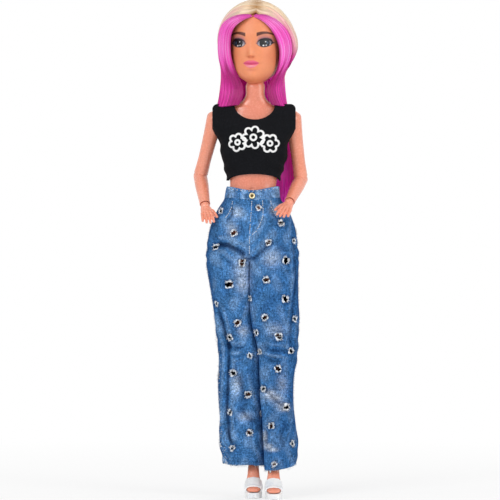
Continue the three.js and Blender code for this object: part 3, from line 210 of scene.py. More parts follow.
class Finish:
    """A material with its shader and a few nodes to colour and roughen it."""

    def __init__(self, name, roughness, soft=None, **constant):
        self.material = bpy.data.materials.new(name)
        self.material.use_nodes = True
        self.tree = self.material.node_tree
        self.shader = self.tree.nodes["Principled BSDF"]
        self.shader.inputs["Roughness"].default_value = roughness
        for socket, value in constant.items():
            self.shader.inputs[socket.replace("_", " ")].default_value = value
        if soft:
            reach, depth = soft
            self.shader.inputs["Subsurface Radius"].default_value = reach
            self.shader.inputs["Subsurface Scale"].default_value = depth * MM
        self.coordinates = self.node("ShaderNodeTexCoord").outputs["Object"]

    def node(self, kind, **settings):
        made = self.tree.nodes.new(kind)
        for key, value in settings.items():
            setattr(made, key, value)
        return made

    def link(self, source, target):
        self.tree.links.new(source, target)

    def noise(self, scale, detail=3.0, rough=0.55, vector=None, stretch=None):
        made = self.node("ShaderNodeTexNoise")
        made.inputs["Scale"].default_value = scale
        made.inputs["Detail"].default_value = detail
        made.inputs["Roughness"].default_value = rough
        source = vector or self.coordinates
        if stretch:
            mapping = self.node("ShaderNodeMapping")
            mapping.inputs["Scale"].default_value = stretch
            self.link(source, mapping.inputs["Vector"])
            source = mapping.outputs["Vector"]
        self.link(source, made.inputs["Vector"])
        return made.outputs["Fac"]

    def ramp(self, source, *stops):
        made = self.node("ShaderNodeValToRGB")
        elements = made.color_ramp.elements
        while len(elements) < len(stops):
            elements.new(0.5)
        for element, (at, colour) in zip(elements, stops):
            element.position = at
            element.color = (*colour, 1) if len(colour) == 3 else colour
        self.link(source, made.inputs["Fac"])
        return made.outputs["Color"]

    def grey(self, source, *stops):
        return self.ramp(source, *[(at, (value,) * 3) for at, value in stops])

    def mix(self, kind, share, first, second):
        made = self.node("ShaderNodeMix", data_type="RGBA", blend_type=kind)
        for value, socket in ((share, 0), (first, 6), (second, 7)):
            if isinstance(value, (int, float)):
                made.inputs[socket].default_value = value
            elif isinstance(value, tuple):
                made.inputs[socket].default_value = (*value, 1)
            else:
                self.link(value, made.inputs[socket])
        return made.outputs[2]

    def attribute(self, name):
        return self.node("ShaderNodeAttribute", attribute_name=name).outputs["Color"]

    def colour(self, source):
        self.link(source, self.shader.inputs["Base Color"])
        return self

    def roughness(self, source):
        self.link(source, self.shader.inputs["Roughness"])
        return self

    def bump(self, source, strength, depth):
        made = self.node("ShaderNodeBump")
        made.inputs["Strength"].default_value = strength
        made.inputs["Distance"].default_value = depth * MM
        self.link(source, made.inputs["Height"])
        self.link(made.outputs["Normal"], self.shader.inputs["Normal"])
        return self


SKIN_DEPTH = ((1.0, 0.45, 0.3), 1.2)


def skin_plastic(name, plain, warm):
    made = Finish(name, 0.3, SKIN_DEPTH, Subsurface_Weight=0.12, Specular_IOR_Level=0.55, Coat_Weight=0.35)
    made.colour(made.mix("MIX", made.grey(made.noise(90), (0.35, 0.0), (0.7, 1.0)), plain, warm))
    made.roughness(made.grey(made.noise(900, 2), (0.3, 0.2), (0.7, 0.32)))
    made.bump(made.noise(2600, 2), 0.05, 0.03)
    return made


# The trunk's skin is the limbs' plastic painted a shade darker: painted shade over the chest, neck and
# midriff.
trunk_skin_painted_shade = skin_plastic("satin_trunk_plastic_painted_shade", linear(228, 139, 113), linear(224, 132, 104))

TRUNK_LOW, TRUNK_TALL, NECK_CAP = 147.6, 99.4, 5.8
trunk_at = through([
    (145, 9, 7, 8, -1.2), (153, 15, 11, 12, -1.2), (162.8, 17, 11.5, 12.5, -1.2),
    (172.5, 16.4, 11, 11.5, -1.2), (183, 14.6, 9, 9, -1), (189, 14, 9, 8.5, -0.5),
    (200.3, 16, 10.5, 9, 0), (209.3, 18.3, 12, 9.5, 0), (214.5, 19.2, 13.5, 9.5, 0),
    (219.8, 19.2, 11.9, 9.5, 0), (226, 18.6, 9, 9, 0), (232, 17.8, 6.8, 7.6, 0),
    (236, 13, 5.4, 6.4, 0.3), (239, 8, 5.2, 6, 0.6), (242.5, 6, 5.6, 6, 0.8),
    (247, 6, 5.8, 5.8, 0.8),
])


def trunk(u, v):
    angle = 2 * np.pi * u
    cap = np.clip((v - 0.94) / 0.06, 0, 1) * np.pi / 2
    under = np.clip((0.03 - v) / 0.03, 0, 1)
    z = TRUNK_LOW + TRUNK_TALL * np.clip((v - 0.03) / 0.91, 0, 1)
    wide, front, back, shift = trunk_at(z)
    x, y = oval(angle, wide, front, back, 2.3)
    navel = 1.0 * np.exp(-((x + 1) / 0.9) ** 2 - ((z - 185.4) / 1.2) ** 2)
    groove = 0.35 * np.exp(-((x + 0.6) / 1.3) ** 2) * smooth(184, 188, z) * smooth(204, 197, z)
    side = np.abs(x)
    collar = 0.5 * np.exp(-((z - 234.6 - 0.06 * side) / 0.9) ** 2) * smooth(2, 4, side) * smooth(14, 10, side)
    y = y + np.where(y < 0, navel + groove - collar, 0)
    shrink = np.cos(cap) * (1 - under)
    return x * shrink + shift, y * shrink, z + NECK_CAP * np.sin(cap)


torso = formed("torso_skin", 120, 200, trunk, trunk_skin_painted_shade.material)
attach(torso, "torso")
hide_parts("torso_front", "torso_back")

# Arms
# Each arm is two solid limbs that meet in a ball under a rolled rim, with a
# small hand on a ball of its own. The pegs and pins inside carry them.
SIDES = {"right": -1, "left": 1}
ARM_POSE = {
    # Degrees of swing, lift, elbow twist and bend, wrist twist and bend
    "right": (22.7, 13.9, 13.3, -69.8, -14.0, -8.0),
    "left": (17.1, 7.6, -19.6, -74.5, 18.0, -5.0),
}
SHOULDER = (23.5, 0.0, 228.0)
UPPER_ARM, FOREARM = 38.0, 26.0
UPPER_ARM_ROWS = [(4, 4.95, 5.0), (11.4, 4.5, 4.6), (19, 4.2, 4.35), (26.6, 4.0, 4.2), (33, 4.15, 4.2)]
ELBOW_RIM = [(35.7, 4.22, 4.22), (36.05, 4.14, 4.14), (36.1, 3.9, 3.9), (36.3, 3.5, 3.5), (36.6, 3.48, 3.48),
             (36.8, 3.7, 3.7)]
FOREARM_ROWS = [(4, 4.12, 4.1), (8, 4.1, 4.08), (14.5, 3.78, 3.66), (20.8, 3.36, 3.2)]
THUMB = [(1.8, 0.3, -2.6), (3.8, 0.6, -4.6), (5.1, 1.0, -7.2), (5.9, 1.2, -9.6)]
WRIST_RIM = [(24.0, 3.2, 3.1), (24.35, 3.12, 3.04), (24.4, 3.0, 2.95)]

skin = skin_plastic("satin_skin_plastic", linear(244, 158, 130), linear(240, 148, 117))
peg = Finish("pale_peg_plastic", 0.5)
peg.colour(peg.mix("MIX", peg.noise(700), linear(226, 186, 162), linear(236, 200, 178)))
peg.bump(peg.noise(2400), 0.1, 0.03)


def turned(angle, axis):
    return Matrix.Rotation(math.radians(angle), 4, axis)


def limb(rows):
    """A round limb hanging down, through rows of (distance, half width, half depth)."""
    line = through([(k, *row) for k, row in enumerate(rows)])

    def place(u, v):
        down, wide, deep = line(v * (len(rows) - 1))
        angle = 2 * np.pi * u
        return wide * np.cos(angle), deep * np.sin(angle), -down
    return place


def dome(centre, radius, start, end, count=5):
    """Rows of a ball, from one angle to another off the straight-up pole."""
    angles = np.radians(np.linspace(start, end, count))
    return [(centre - radius * math.cos(a), radius * math.sin(a), radius * math.sin(a)) for a in angles]


def applied(thing):
    """The piece with its modifiers made part of the mesh."""
    depsgraph = bpy.context.evaluated_depsgraph_get()
    mesh = bpy.data.meshes.new_from_object(thing.evaluated_get(depsgraph))
    old = thing.data
    thing.modifiers.clear()
    thing.data = mesh
    bpy.data.meshes.remove(old)
    mesh.name = thing.name
    mesh.polygons.foreach_set("use_smooth", [True] * len(mesh.polygons))
    return thing


def melted(thing, voxel, rounds):
    """The piece's lumps melted into one skin and relaxed."""
    melt = thing.modifiers.new("melt", "REMESH")
    melt.mode = "VOXEL"
    melt.voxel_size = voxel
    relax = thing.modifiers.new("relax", "SMOOTH")
    relax.iterations = rounds
    relax.factor = 0.5
    return applied(thing)


def shoulder_at(side):
    sign, (swing, lift) = SIDES[side], ARM_POSE[side][:2]
    return (Matrix.Translation((sign * SHOULDER[0], 0, SHOULDER[2]))
            @ turned(swing, "X") @ turned(-sign * lift, "Y"))


for side, sign in SIDES.items():
    twist, bend, wrist_twist, wrist_bend = ARM_POSE[side][2:]
    at_shoulder = shoulder_at(side)
    at_elbow = at_shoulder @ Matrix.Translation((0, 0, -UPPER_ARM)) @ turned(twist, "Z") @ turned(bend, "X")
    at_wrist = (at_elbow @ Matrix.Translation((0, 0, -FOREARM))
                @ turned(wrist_twist, "Z") @ turned(wrist_bend, "X"))
    upper_rows = dome(0, 5.3, 0, 80) + UPPER_ARM_ROWS + ELBOW_RIM + dome(UPPER_ARM, 4.45, 62, 0)
    upper = formed(f"upper_arm_skin_{side}", 48, 90, limb(upper_rows), skin.material, at_shoulder)
    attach(upper, f"upper_arm_{side}")
    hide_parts(f"upper_arm_{side}")
    fore_rows = dome(0, 4.1, 0, 85) + FOREARM_ROWS + WRIST_RIM + dome(FOREARM, 3.3, 60, 0)
    fore = formed(f"forearm_skin_{side}", 48, 80, limb(fore_rows), skin.material, at_elbow)
    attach(fore, f"forearm_{side}")
    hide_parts(f"forearm_{side}")

    # A hand: ball, palm, four fingers and a thumb, melted into one body
    bm = bmesh.new()

    def lump(centre, size, turn=0.0):
        place = Matrix.Translation(centre) @ turned(turn, "Y") @ Matrix.Diagonal((*size, 1))
        bmesh.ops.create_icosphere(bm, subdivisions=2, radius=1, matrix=place)

    def digit(points, radii):
        for k in range(len(points) - 1):
            start, end = Vector(points[k]), Vector(points[k + 1])
            for step in range(4):
                share = step / 4
                size = radii[k] + (radii[k + 1] - radii[k]) * share
                lump(start.lerp(end, share), (size,) * 3)
        lump(points[-1], (radii[-1],) * 3)

    thumb = -sign
    lump((0, 0, 0), (2.95, 2.95, 2.95))
    lump((0, 0, -2.6), (2.5, 1.9, 2.4))
    for k, x in enumerate((2.6, 0.9, -0.9, -2.5)):
        digit([(thumb * x * 0.7, 0, -2.6), (thumb * x, 0, -8.0)], [1.55, 1.2])
    lump((0, 0, -5.2), (3.6, 1.5, 3.3))
    for k, share in enumerate((0.88, 1.0, 0.95, 0.74)):
        x = thumb * (2.9 - 1.9 * k)
        spread = thumb * (0.5 - 0.3 * k)
        reach = share * 8.0
        knuckle, tip = (x + 0.4 * spread, 0.15, -8 - 0.45 * reach), (x + spread, 0.9, -8 - reach + 0.5)
        digit([(x, 0, -7.4), knuckle, tip], [1.15, 1.08, 0.82])
    digit([(thumb * x, y, z) for x, y, z in THUMB], [1.4, 1.35, 1.12, 0.85])
    for vert in bm.verts:
        vert.co = carried(np.array(vert.co), at_wrist) * MM + SHIFT
    hand = piece(f"hand_skin_{side}", bm, skin.material)
    melted(hand, 0.2 * MM, 5)
    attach(hand, f"hand_{side}")
    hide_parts(f"hand_{side}")

# Legs and feet
# Hollow thighs hang on the axle, and each solid lower leg with its arched foot
# turns on a pin in the fork of the knee. Only the toes and insteps show.
ANKLE_Y = {"right": 5.0, "left": -5.0}
FOOT_PLAIN = (0, 5.5, 9.9, 15.8, 24, 40)
FOOT_WORN = (0, 3.8, 7.4, 12.9, 22, 40)


def triples(items, field):
    """A place or a normal for each item of a mesh, as rows of three numbers."""
    flat = np.empty(len(items) * 3)
    items.foreach_get(field, flat)
    return flat.reshape(-1, 3)


def figure_points(thing):
    """The piece's vertices in millimetres of the standing figure."""
    return (triples(thing.data.vertices, "co") - SHIFT) / MM


def move_to(thing, points):
    thing.data.vertices.foreach_set("co", (points * MM + SHIFT).ravel())
    thing.data.update()


def assigned(material, *names):
    """CAD solids whose shape is right, with their finish."""
    for name in names:
        for slot in bpy.data.objects[name].material_slots:
            slot.material = material


def softened(name, node, material, voxel, rounds):
    """A moulded copy of a solid: its edges melted round, its facets smoothed."""
    bm = bmesh.new()
    bm.from_mesh(bpy.data.objects[node].data)
    bmesh.ops.remove_doubles(bm, verts=bm.verts, dist=1e-6)
    return melted(piece(name, bm, material), voxel * MM, rounds)


def toes_lowered(thing, side):
    """The front of the foot and its shoe sit a little lower than the plain solids show."""
    points = figure_points(thing)
    share = smooth(-2, -11, points[:, 1] - ANKLE_Y[side]) * smooth(40, 26, points[:, 2])
    low = np.interp(points[:, 2], FOOT_PLAIN, FOOT_WORN)
    points[:, 2] += (low - points[:, 2]) * share
    move_to(thing, points)


assigned(peg.material, "hip_axle", "neck_knob")
for side in SIDES:
    assigned(peg.material, f"shoulder_peg_{side}", f"shoulder_pin_{side}", f"elbow_link_{side}",
             f"elbow_pin_{side}", f"wrist_link_{side}", f"wrist_pin_{side}", f"knee_pin_{side}")
    thigh = softened(f"thigh_skin_{side}", f"thigh_{side}", skin.material, 0.5, 4)
    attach(thigh, f"thigh_{side}")
    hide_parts(f"thigh_{side}")
    shin = softened(f"lower_leg_skin_{side}", f"lower_leg_{side}", skin.material, 0.35, 8)
    toes_lowered(shin, side)
    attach(shin, f"lower_leg_{side}")
    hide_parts(f"lower_leg_{side}")

# Head
# A hollow head of soft vinyl with the face printed on it, turned a little to
# its right and snapped onto the knob of the neck. Painted highlights and
# painted shade on the nose, chin and lips are laid in with the print.
HEAD_AT = Matrix.Translation((0.8, 0, 247)) @ turned(-10, "Z")
CHIN, HEAD_TALL, CROWN = 1.6, 47.3, 48.7
head_at = through([
    (1.6, 1.4, 2.0, 6.8), (2.4, 3.2, 7.0, 7.4), (3.2, 4.8, 10.6, 8), (4.3, 6.4, 12.4, 9),
    (5.6, 8.4, 13.4, 10.2),
    (7.1, 10.3, 14, 11.4), (9.9, 12.5, 14.5, 13), (13.4, 13.7, 14.8, 15), (19.4, 14.4, 15, 17),
    (26.5, 14.6, 15.4, 18), (33.5, 14.6, 15.2, 18), (40, 13.2, 13.4, 16.4), (44.5, 10.4, 10.6, 12.4),
    (47.5, 6.4, 6.2, 7.4), (48.7, 1.4, 1.2, 1.6),
])
EYE = (7.9, 26.0)
LIP_LINE = 13.4


def bump(x, z, at_x, at_z, wide, tall):
    return np.exp(-((x - at_x) / wide) ** 2 - ((z - at_z) / tall) ** 2)


def face_relief(x, z):
    """How far the features stand out of the plain form of the face."""
    side = np.abs(x)
    ridge = np.clip((30.0 - z) / 11.5, 0, 1) * smooth(16.6, 19.0, z)
    nose = 2.4 * ridge ** 2.8 * np.exp(-(x / (1.2 + 0.8 * ridge)) ** 2)
    wings = 0.6 * bump(side, z, 1.6, 18.5, 0.8, 0.9)
    lips = 1.3 * bump(x, z, 0, LIP_LINE + 1.3, 3.4, 1.1) + 1.1 * bump(x, z, 0, LIP_LINE - 1.0, 3.0, 0.9)
    parting = -0.5 * bump(x, z, 0, LIP_LINE, 4.4, 0.35)
    sockets = -1.4 * bump(side, z, 7.6, EYE[1] + 0.2, 4.6, 3.1)
    balls = 0.95 * bump(side, z, 7.9, EYE[1] - 0.2, 3.2, 2.1)
    lid = 0.35 * np.exp(-((z - upper_lid(side) - 0.35) / 0.35) ** 2) * smooth(4.6, 1.0, np.abs(side - 7.9))
    brows = 0.5 * bump(side, z, 7.6, 31.5, 4.5, 1.6)
    return (nose + wings + lips + parting + sockets + balls + lid + brows
            + 0.9 * bump(x, z, 0, 6.6, 3.4, 2.4) + 0.6 * bump(side, z, 8.4, 19.6, 4.2, 4.2))


def upper_lid(side):
    """Height of the edge of the upper lid, out from the middle of the face."""
    out = (side - EYE[0]) / 4.3
    return EYE[1] + 2.55 * np.sqrt(np.clip(1 - out * out, 0, 1)) + 0.35 * out


def lower_lid(side):
    out = (side - EYE[0]) / 4.3
    return EYE[1] - 2.2 * np.clip(1 - out * out, 0, 1) ** 0.7 + 0.35 * out


def head_shape(u, v):
    spread = u - 0.11 * np.sin(4 * np.pi * u) / (2 * np.pi) * 1.6
    angle = 2 * np.pi * spread - np.pi
    z = CHIN + HEAD_TALL * v
    wide, front, back = head_at(z)
    shrink = np.where((z > CROWN) | (v <= 0), 0.0, 1.0)
    x, y = oval(angle, wide * shrink, front * shrink, back * shrink, 2.15)
    facing = smooth(-0.3, -0.6, np.sin(angle))
    return x, y - face_relief(x, z) * facing * shrink, z


def shade(red, green, blue):
    return np.array(linear(red, green, blue))


def painted(thing, name, colours):
    """A colour for each vertex, read by the piece's material."""
    layer = thing.data.attributes.new(name, "FLOAT_COLOR", "POINT")
    filled = np.ones((len(colours), 4))
    filled[:, :3] = colours
    layer.data.foreach_set("color", filled.ravel())


vinyl = Finish("soft_vinyl_face", 0.42, SKIN_DEPTH, Subsurface_Weight=0.12, Specular_IOR_Level=0.45)
vinyl.colour(vinyl.mix("MULTIPLY", 0.5, vinyl.attribute("face_print_and_painted_light"),
                       vinyl.grey(vinyl.noise(600, 2), (0.3, 0.9), (0.7, 1.0))))
vinyl.roughness(vinyl.grey(vinyl.noise(1500, 2), (0.3, 0.36), (0.7, 0.5)))
vinyl.bump(vinyl.noise(3000, 2), 0.1, 0.03)

head = formed("head_vinyl", 300, 250, head_shape, vinyl.material, HEAD_AT)
spots = carried(figure_points(head), HEAD_AT.inverted())
x, z = spots[:, 0], spots[:, 2]
side = np.abs(x)
out = side - EYE[0]
colours = np.tile(linear(235, 146, 102), (len(x), 1))


def paint(colour, share):
    """A coat of one colour over the front of the face, as thick as its share."""
    share = np.clip(share, 0, 1)[:, None] * (spots[:, 1] < 0)[:, None]
    colours[:] = colours * (1 - share) + shade(*colour) * share


def within(distance, edge=0.12):
    """1 where the signed distance is inside the shape, with a soft edge."""
    return smooth(edge, -edge, distance)


paint((230, 122, 84), 0.35 * bump(side, z, 10.4, 18.6, 3.6, 4.0))
# Painted highlight down the ridge of the nose.
paint((250, 176, 132), 0.3 * bump(x, z, 0.1, 20.6, 1.1, 1.8))
# Painted shade under the nose and under the chin.
paint((206, 104, 68), 0.45 * bump(x, z, 0, 17.2, 2.2, 0.8) + 0.3 * bump(x, z, 0, 3.2, 7, 1.6))
# Painted shade in the nostrils.
paint((176, 82, 56), 0.6 * bump(side, z, 1.35, 17.7, 0.7, 0.45))
# Painted shade down the sides of the nose.
paint((212, 112, 76), 0.15 * bump(side, z, 2.2, 21.5, 0.9, 3.2))
lid_height = z - upper_lid(side)
shadow = smooth(4.4, 0.0, lid_height) * smooth(-0.5, 0.0, lid_height) * smooth(6.0, 3.4, np.abs(out - 0.3))
paint((168, 108, 122), 0.8 * shadow)
paint((104, 74, 100), 0.8 * shadow * smooth(1.5, 0.2, lid_height))
opening = np.maximum(z - upper_lid(side), lower_lid(side) - z)
opening = np.where(np.abs(out) < 4.3, opening, 1.0)
paint((204, 198, 206), within(opening))
paint((96, 86, 100), 0.85 * within(opening) * smooth(-0.8, 1.4, z - EYE[1]))
paint((110, 98, 112), 0.7 * within(opening) * smooth(2.4, 3.8, np.abs(out)))
iris_x = out - np.where(x > 0, -0.1, 0.2)
iris = np.hypot(iris_x, z - EYE[1] - 0.15)
seen_eye = within(opening)
paint((14, 14, 20), within(iris - 2.8) * seen_eye)
paint((70, 96, 124), 0.7 * within(np.hypot(iris_x - 1.3, z - EYE[1] - 0.4) - 0.75, 0.45) * seen_eye)
paint((90, 92, 108), 0.2 * within(np.abs(iris - 1.9) - 0.18, 0.25) * smooth(0.2, -1.2, z - EYE[1]) * seen_eye)
paint((4, 4, 8), within(iris - 1.3) * seen_eye)
paint((22, 20, 28), within(np.abs(iris - 2.7) - 0.25) * seen_eye)
for glint_x, glint_z, size in ((-0.6, -1.3, 0.4), (0.95, -1.1, 0.3), (0.6, 1.0, 0.3)):
    far = np.hypot(x - np.sign(x) * EYE[0] - glint_x, z - EYE[1] - glint_z)
    paint((250, 250, 252), within(far - size))
liner = 0.36 + 0.3 * smooth(-3.5, 4.0, out)
lash_band = np.abs(z - upper_lid(side) - 0.1) - liner
lash_band = np.where(np.abs(out) < 4.4, lash_band, 1.0)
paint((24, 18, 24), within(lash_band, 0.14))
wing = np.abs(z - EYE[1] - 0.35 - 0.42 * (out - 4.0)) - 0.42 * smooth(6.0, 3.8, out)
wing = np.where((out > 3.4) & (out < 6.0), wing, 1.0)
paint((30, 22, 30), within(wing))
lower = np.abs(z - lower_lid(side)) - 0.2
lower = np.where(np.abs(out) < 4.3, lower, 1.0)
paint((58, 44, 54), 0.85 * within(lower, 0.16))
lashes = np.abs(((out * 1.55 + (z - EYE[1]) * 0.35) % 1.0) - 0.5) - 0.2
rising = (lid_height > 0) & (lid_height < 0.95 + 0.1 * out) & (np.abs(out) < 4.4)
paint((30, 22, 28), 0.7 * within(np.where(rising, lashes, 1.0), 0.15))
along = (side - 3.6) / 10.2
brow_height = 31.2 + 1.5 * np.sin(np.clip(along, 0, 1) * 2.8) - 0.7 * np.clip(along, 0, 1)
brow = np.abs(z - brow_height) - (1.1 - 0.8 * np.clip(along, 0, 1) ** 1.2)
brow = np.where((along > 0) & (along < 1), brow, 1.0)
paint((76, 34, 28), 0.95 * within(brow, 0.3))
bow = 1 - 0.2 * np.exp(-(x / 0.9) ** 2)
lip_line = LIP_LINE + 0.7 * (side / 5) ** 1.6
upper_edge = lip_line + 2.7 * np.clip(1 - np.abs(x / 5.0) ** 1.5, 0, 1) * bow
lower_edge = lip_line - 2.3 * np.clip(1 - (x / 4.6) ** 2, 0, 1) ** 0.8
lips = np.maximum(z - upper_edge, lower_edge - z)
lips = np.where(side < 5.0, lips, 1.0)
paint((238, 116, 142), within(lips, 0.25))
paint((216, 74, 118), within(lips, 0.25) * np.exp(-((z - lip_line - 0.6) / 0.9) ** 2))
# Painted highlight on the lower lip.
paint((250, 176, 180), 0.9 * within(lips, 0.25) * bump(x, z, 0, LIP_LINE - 1.2, 3.0, 0.5))
# Painted shade under the lower lip.
paint((196, 96, 84), 0.5 * bump(x, z, 0, LIP_LINE - 3.4, 2.6, 0.7))
paint((176, 40, 84), 0.7 * within(np.where(side < 4.8, np.abs(z - lip_line) - 0.1, 1.0), 0.2))
painted(head, "face_print_and_painted_light", colours)
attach(head, "head")
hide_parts("head_shell")

# Hair
# Long silky fibre rooted along a middle parting: blond over the skull, hot
# pink in the front locks and in the fall down the back.
hair_finish = Finish("silky_fibre", 0.34, Specular_IOR_Level=0.42)
strand_place = hair_finish.attribute("strand")
streaks = hair_finish.noise(1.0, 3, 0.6, strand_place, (70, 1.1, 1))
fine = hair_finish.noise(1.0, 2, 0.5, strand_place, (260, 2.2, 1))
tinted = hair_finish.mix("MULTIPLY", 1.0, hair_finish.attribute("fibre_colour"),
                         hair_finish.grey(streaks, (0.28, 0.7), (0.72, 1.2)))
hair_finish.colour(hair_finish.mix("MULTIPLY", 0.7, tinted,
                                   hair_finish.grey(fine, (0.3, 0.72), (0.7, 1.15))))
hair_finish.roughness(hair_finish.grey(streaks, (0.3, 0.26), (0.7, 0.46)))
hair_finish.bump(fine, 0.35, 0.12)

HOT_PINK = shade(252, 66, 196)
MAGENTA = shade(214, 12, 148)
DEEP = shade(176, 0, 116)
ROSE = shade(255, 136, 216)
PALE = shade(250, 226, 196)
HONEY = shade(216, 160, 100)
BEIGE = shade(240, 190, 190)
GROOVES = ((23, 0.3), (37, 2.1), (61, 4.0))
LOCK_RUNGS = 22
chance = np.random.default_rng(7)


def net(rows):
    """A surface through rows of points: across the rows by s, along them by t."""
    rows = np.array(rows, float)

    def line(points, at):
        at = np.clip(at, 0, 1) * (len(points) - 1)
        k = np.minimum(at.astype(int), len(points) - 2)
        t = (at - k)[:, None]
        before, a, b, after = (points[np.clip(k + step, 0, len(points) - 1)] for step in (-1, 0, 1, 2))
        return 0.5 * ((2 * a) + (b - before) * t + (2 * before - 5 * a + 4 * b - after) * t * t
                      + (3 * a - before - 3 * b + after) * t ** 3)

    def surface(s, t):
        s, t = np.asarray(s, float).ravel(), np.asarray(t, float).ravel()
        along = np.stack([line(row, t) for row in rows], axis=0)
        at = np.clip(s, 0, 1) * (len(rows) - 1)
        k = np.minimum(at.astype(int), len(rows) - 2)
        f = (at - k)[:, None]
        pick = np.arange(len(s))
        before, a, b, after = (along[np.clip(k + step, 0, len(rows) - 1), pick] for step in (-1, 0, 1, 2))
        return 0.5 * ((2 * a) + (b - before) * f + (2 * before - 5 * a + 4 * b - after) * f * f
                      + (3 * a - before - 3 * b + after) * f ** 3)
    return surface


def normal_of(surface, s, t):
    step = 0.01
    across = surface(np.clip(s + step, 0, 1), t) - surface(np.clip(s - step, 0, 1), t)
    down = surface(s, np.clip(t + step, 0, 1)) - surface(s, np.clip(t - step, 0, 1))
    normal = np.cross(across, down)
    return normal / np.maximum(np.linalg.norm(normal, axis=1), 1e-6)[:, None]


def outward(surface, s, t, middle):
    """The normals of the surface, on the side that faces away from a middle point."""
    half = np.array([0.5])
    away = surface(half, half)[0] - np.array(middle)
    return normal_of(surface, s, t) * np.sign(normal_of(surface, half, half)[0] @ away)


def hair_part(name, surface, tone, locks, width, middle, mesh=(140, 120), thick=1.3, lift=0.5):
    """A grooved sheet of fibre with loose flat locks laid over it, in one mesh."""
    bm = bmesh.new()
    row = bm.verts.layers.int.new("row")
    bmesh.ops.create_grid(bm, x_segments=mesh[0], y_segments=mesh[1], size=0.5)
    co = np.array([v.co for v in bm.verts])
    s, t = co[:, 0] + 0.5, co[:, 1] + 0.5
    points = surface(s, t)
    groove = sum(np.cos(s * k * 2 * np.pi + p + 1.5 * t) for k, p in GROOVES) * 0.12
    points = points + outward(surface, s, t, middle) * groove[:, None]
    for k, (vert, point) in enumerate(zip(bm.verts, points)):
        vert.co = point
        vert[row] = k
    result = bmesh.ops.extrude_face_region(bm, geom=bm.faces[:])
    inner = points - outward(surface, s, t, middle) * thick
    order = []
    for vert in (g for g in result["geom"] if isinstance(g, bmesh.types.BMVert)):
        order.append(vert[row])
        vert.co = inner[vert[row]]
    bm.verts.layers.int.remove(row)
    strands, fibre = [np.stack([s * 3, t * 3, t * 0], axis=1)], [tone(s, t)]
    strands.append(strands[0][order])
    # The inner side of the sheet is painted darker: painted shade under the hair.
    fibre.append(fibre[0][order] * 0.7)
    for lock in range(locks):
        middle_s = (lock + chance.uniform(0.1, 0.9)) / locks
        start = chance.uniform(0.0, 0.12)
        end = chance.uniform(0.9, 1.0)
        sway = chance.uniform(-1, 1) * 0.02
        phase = chance.uniform(0, 6.28)
        wide = width * chance.uniform(0.7, 1.4)
        raised = lift * chance.uniform(0.5, 1.3)
        bits = bmesh.ops.create_grid(bm, x_segments=4, y_segments=LOCK_RUNGS, size=0.5)["verts"]
        flat = np.array([v.co for v in bits])
        a, b = flat[:, 0] * 2, flat[:, 1] + 0.5
        taper = np.sin(np.pi * np.clip(b, 0, 1) ** 0.7) ** 0.5
        t_at = start + (end - start) * b
        s_at = middle_s + sway * np.sin(2 * np.pi * b + phase) + a * wide * taper / 2
        rise = raised * taper * (1 - a * a) + 0.03 - 0.5 * (1 - taper)
        place = surface(s_at, t_at) + outward(surface, np.clip(s_at, 0, 1), t_at, middle) * rise[:, None]
        for vert, point in zip(bits, place):
            vert.co = point
        light = chance.uniform(0.82, 1.2)
        strands.append(np.stack([s_at * 3 + lock, t_at * 3, t_at * 0], axis=1))
        fibre.append(tone(np.clip(s_at, 0, 1), t_at) * light)
    for vert in bm.verts:
        vert.co = np.array(vert.co) * MM + SHIFT
    bmesh.ops.recalc_face_normals(bm, faces=bm.faces)
    thing = piece(name, bm, hair_finish.material)
    painted(thing, "fibre_colour", np.clip(np.concatenate(fibre), 0, 1))
    painted(thing, "strand", np.concatenate(strands))
    return thing


def blended(first, second, share):
    share = np.clip(share, 0, 1)[:, None]
    return first * (1 - share) + second * share


def seen_at(across, down, depth):
    """The point at that depth that the camera sees at (across, down) of 500 by 500."""
    scale = VIEW["span"] / 500
    reach = (VIEW["distance"] + depth) / VIEW["distance"]
    x = (np.asarray(across, float) - 250) * scale * reach + VIEW["x"]
    z = (VIEW["top"] - np.asarray(down, float) * scale - VIEW["height"]) * reach + VIEW["height"]
    return np.stack(np.broadcast_arrays(x, np.asarray(depth, float), z), axis=-1)


def guide(*points):
    return [seen_at(across, down, depth).tolist() for across, down, depth in points]


SKULL = (0.8, 1.5, 268.0)
NAPE = (0.8, 12.0, 255.0)
front_right = net([
    guide((252.6, 16.2, -13), (245, 19.0, -15), (236, 25, -14.8), (231.3, 33, -13.4), (230, 45, -11.6),
          (231, 57, -10.6), (234, 67, -9.6), (238.5, 76, -7), (243, 86, -4.5), (243, 96, -5.5),
          (239, 104.5, -8)),
    guide((251.8, 15.4, -13), (242, 17.6, -15), (232, 22.8, -14.0), (226.5, 31, -12), (224.5, 44, -10.2),
          (225, 57, -9.4), (227.5, 68, -8.4), (231.5, 78, -7), (234, 88, -5.5), (233, 97, -6.5),
          (230, 105.3, -8.6)),
    guide((251, 14.8, -12.8), (239, 16.2, -13.4), (228, 21.4, -10.6), (222, 30, -7.4), (220, 44, -5.4),
          (220.4, 57, -4.6), (222.6, 68, -4), (225, 78, -3.6), (225.4, 88, -3.4), (224, 98, -5),
          (221.5, 106, -7.4)),
    guide((250.6, 14.4, -12), (238, 15.2, -11.4), (226, 20.6, -6.8), (220, 30, -2.6), (218.4, 44, -0.6),
          (219, 57, 0.4), (221, 68, 1.4), (221, 78, 2), (220, 88, 1), (218.6, 98, -1.5),
          (216.8, 106.2, -4.6)),
])
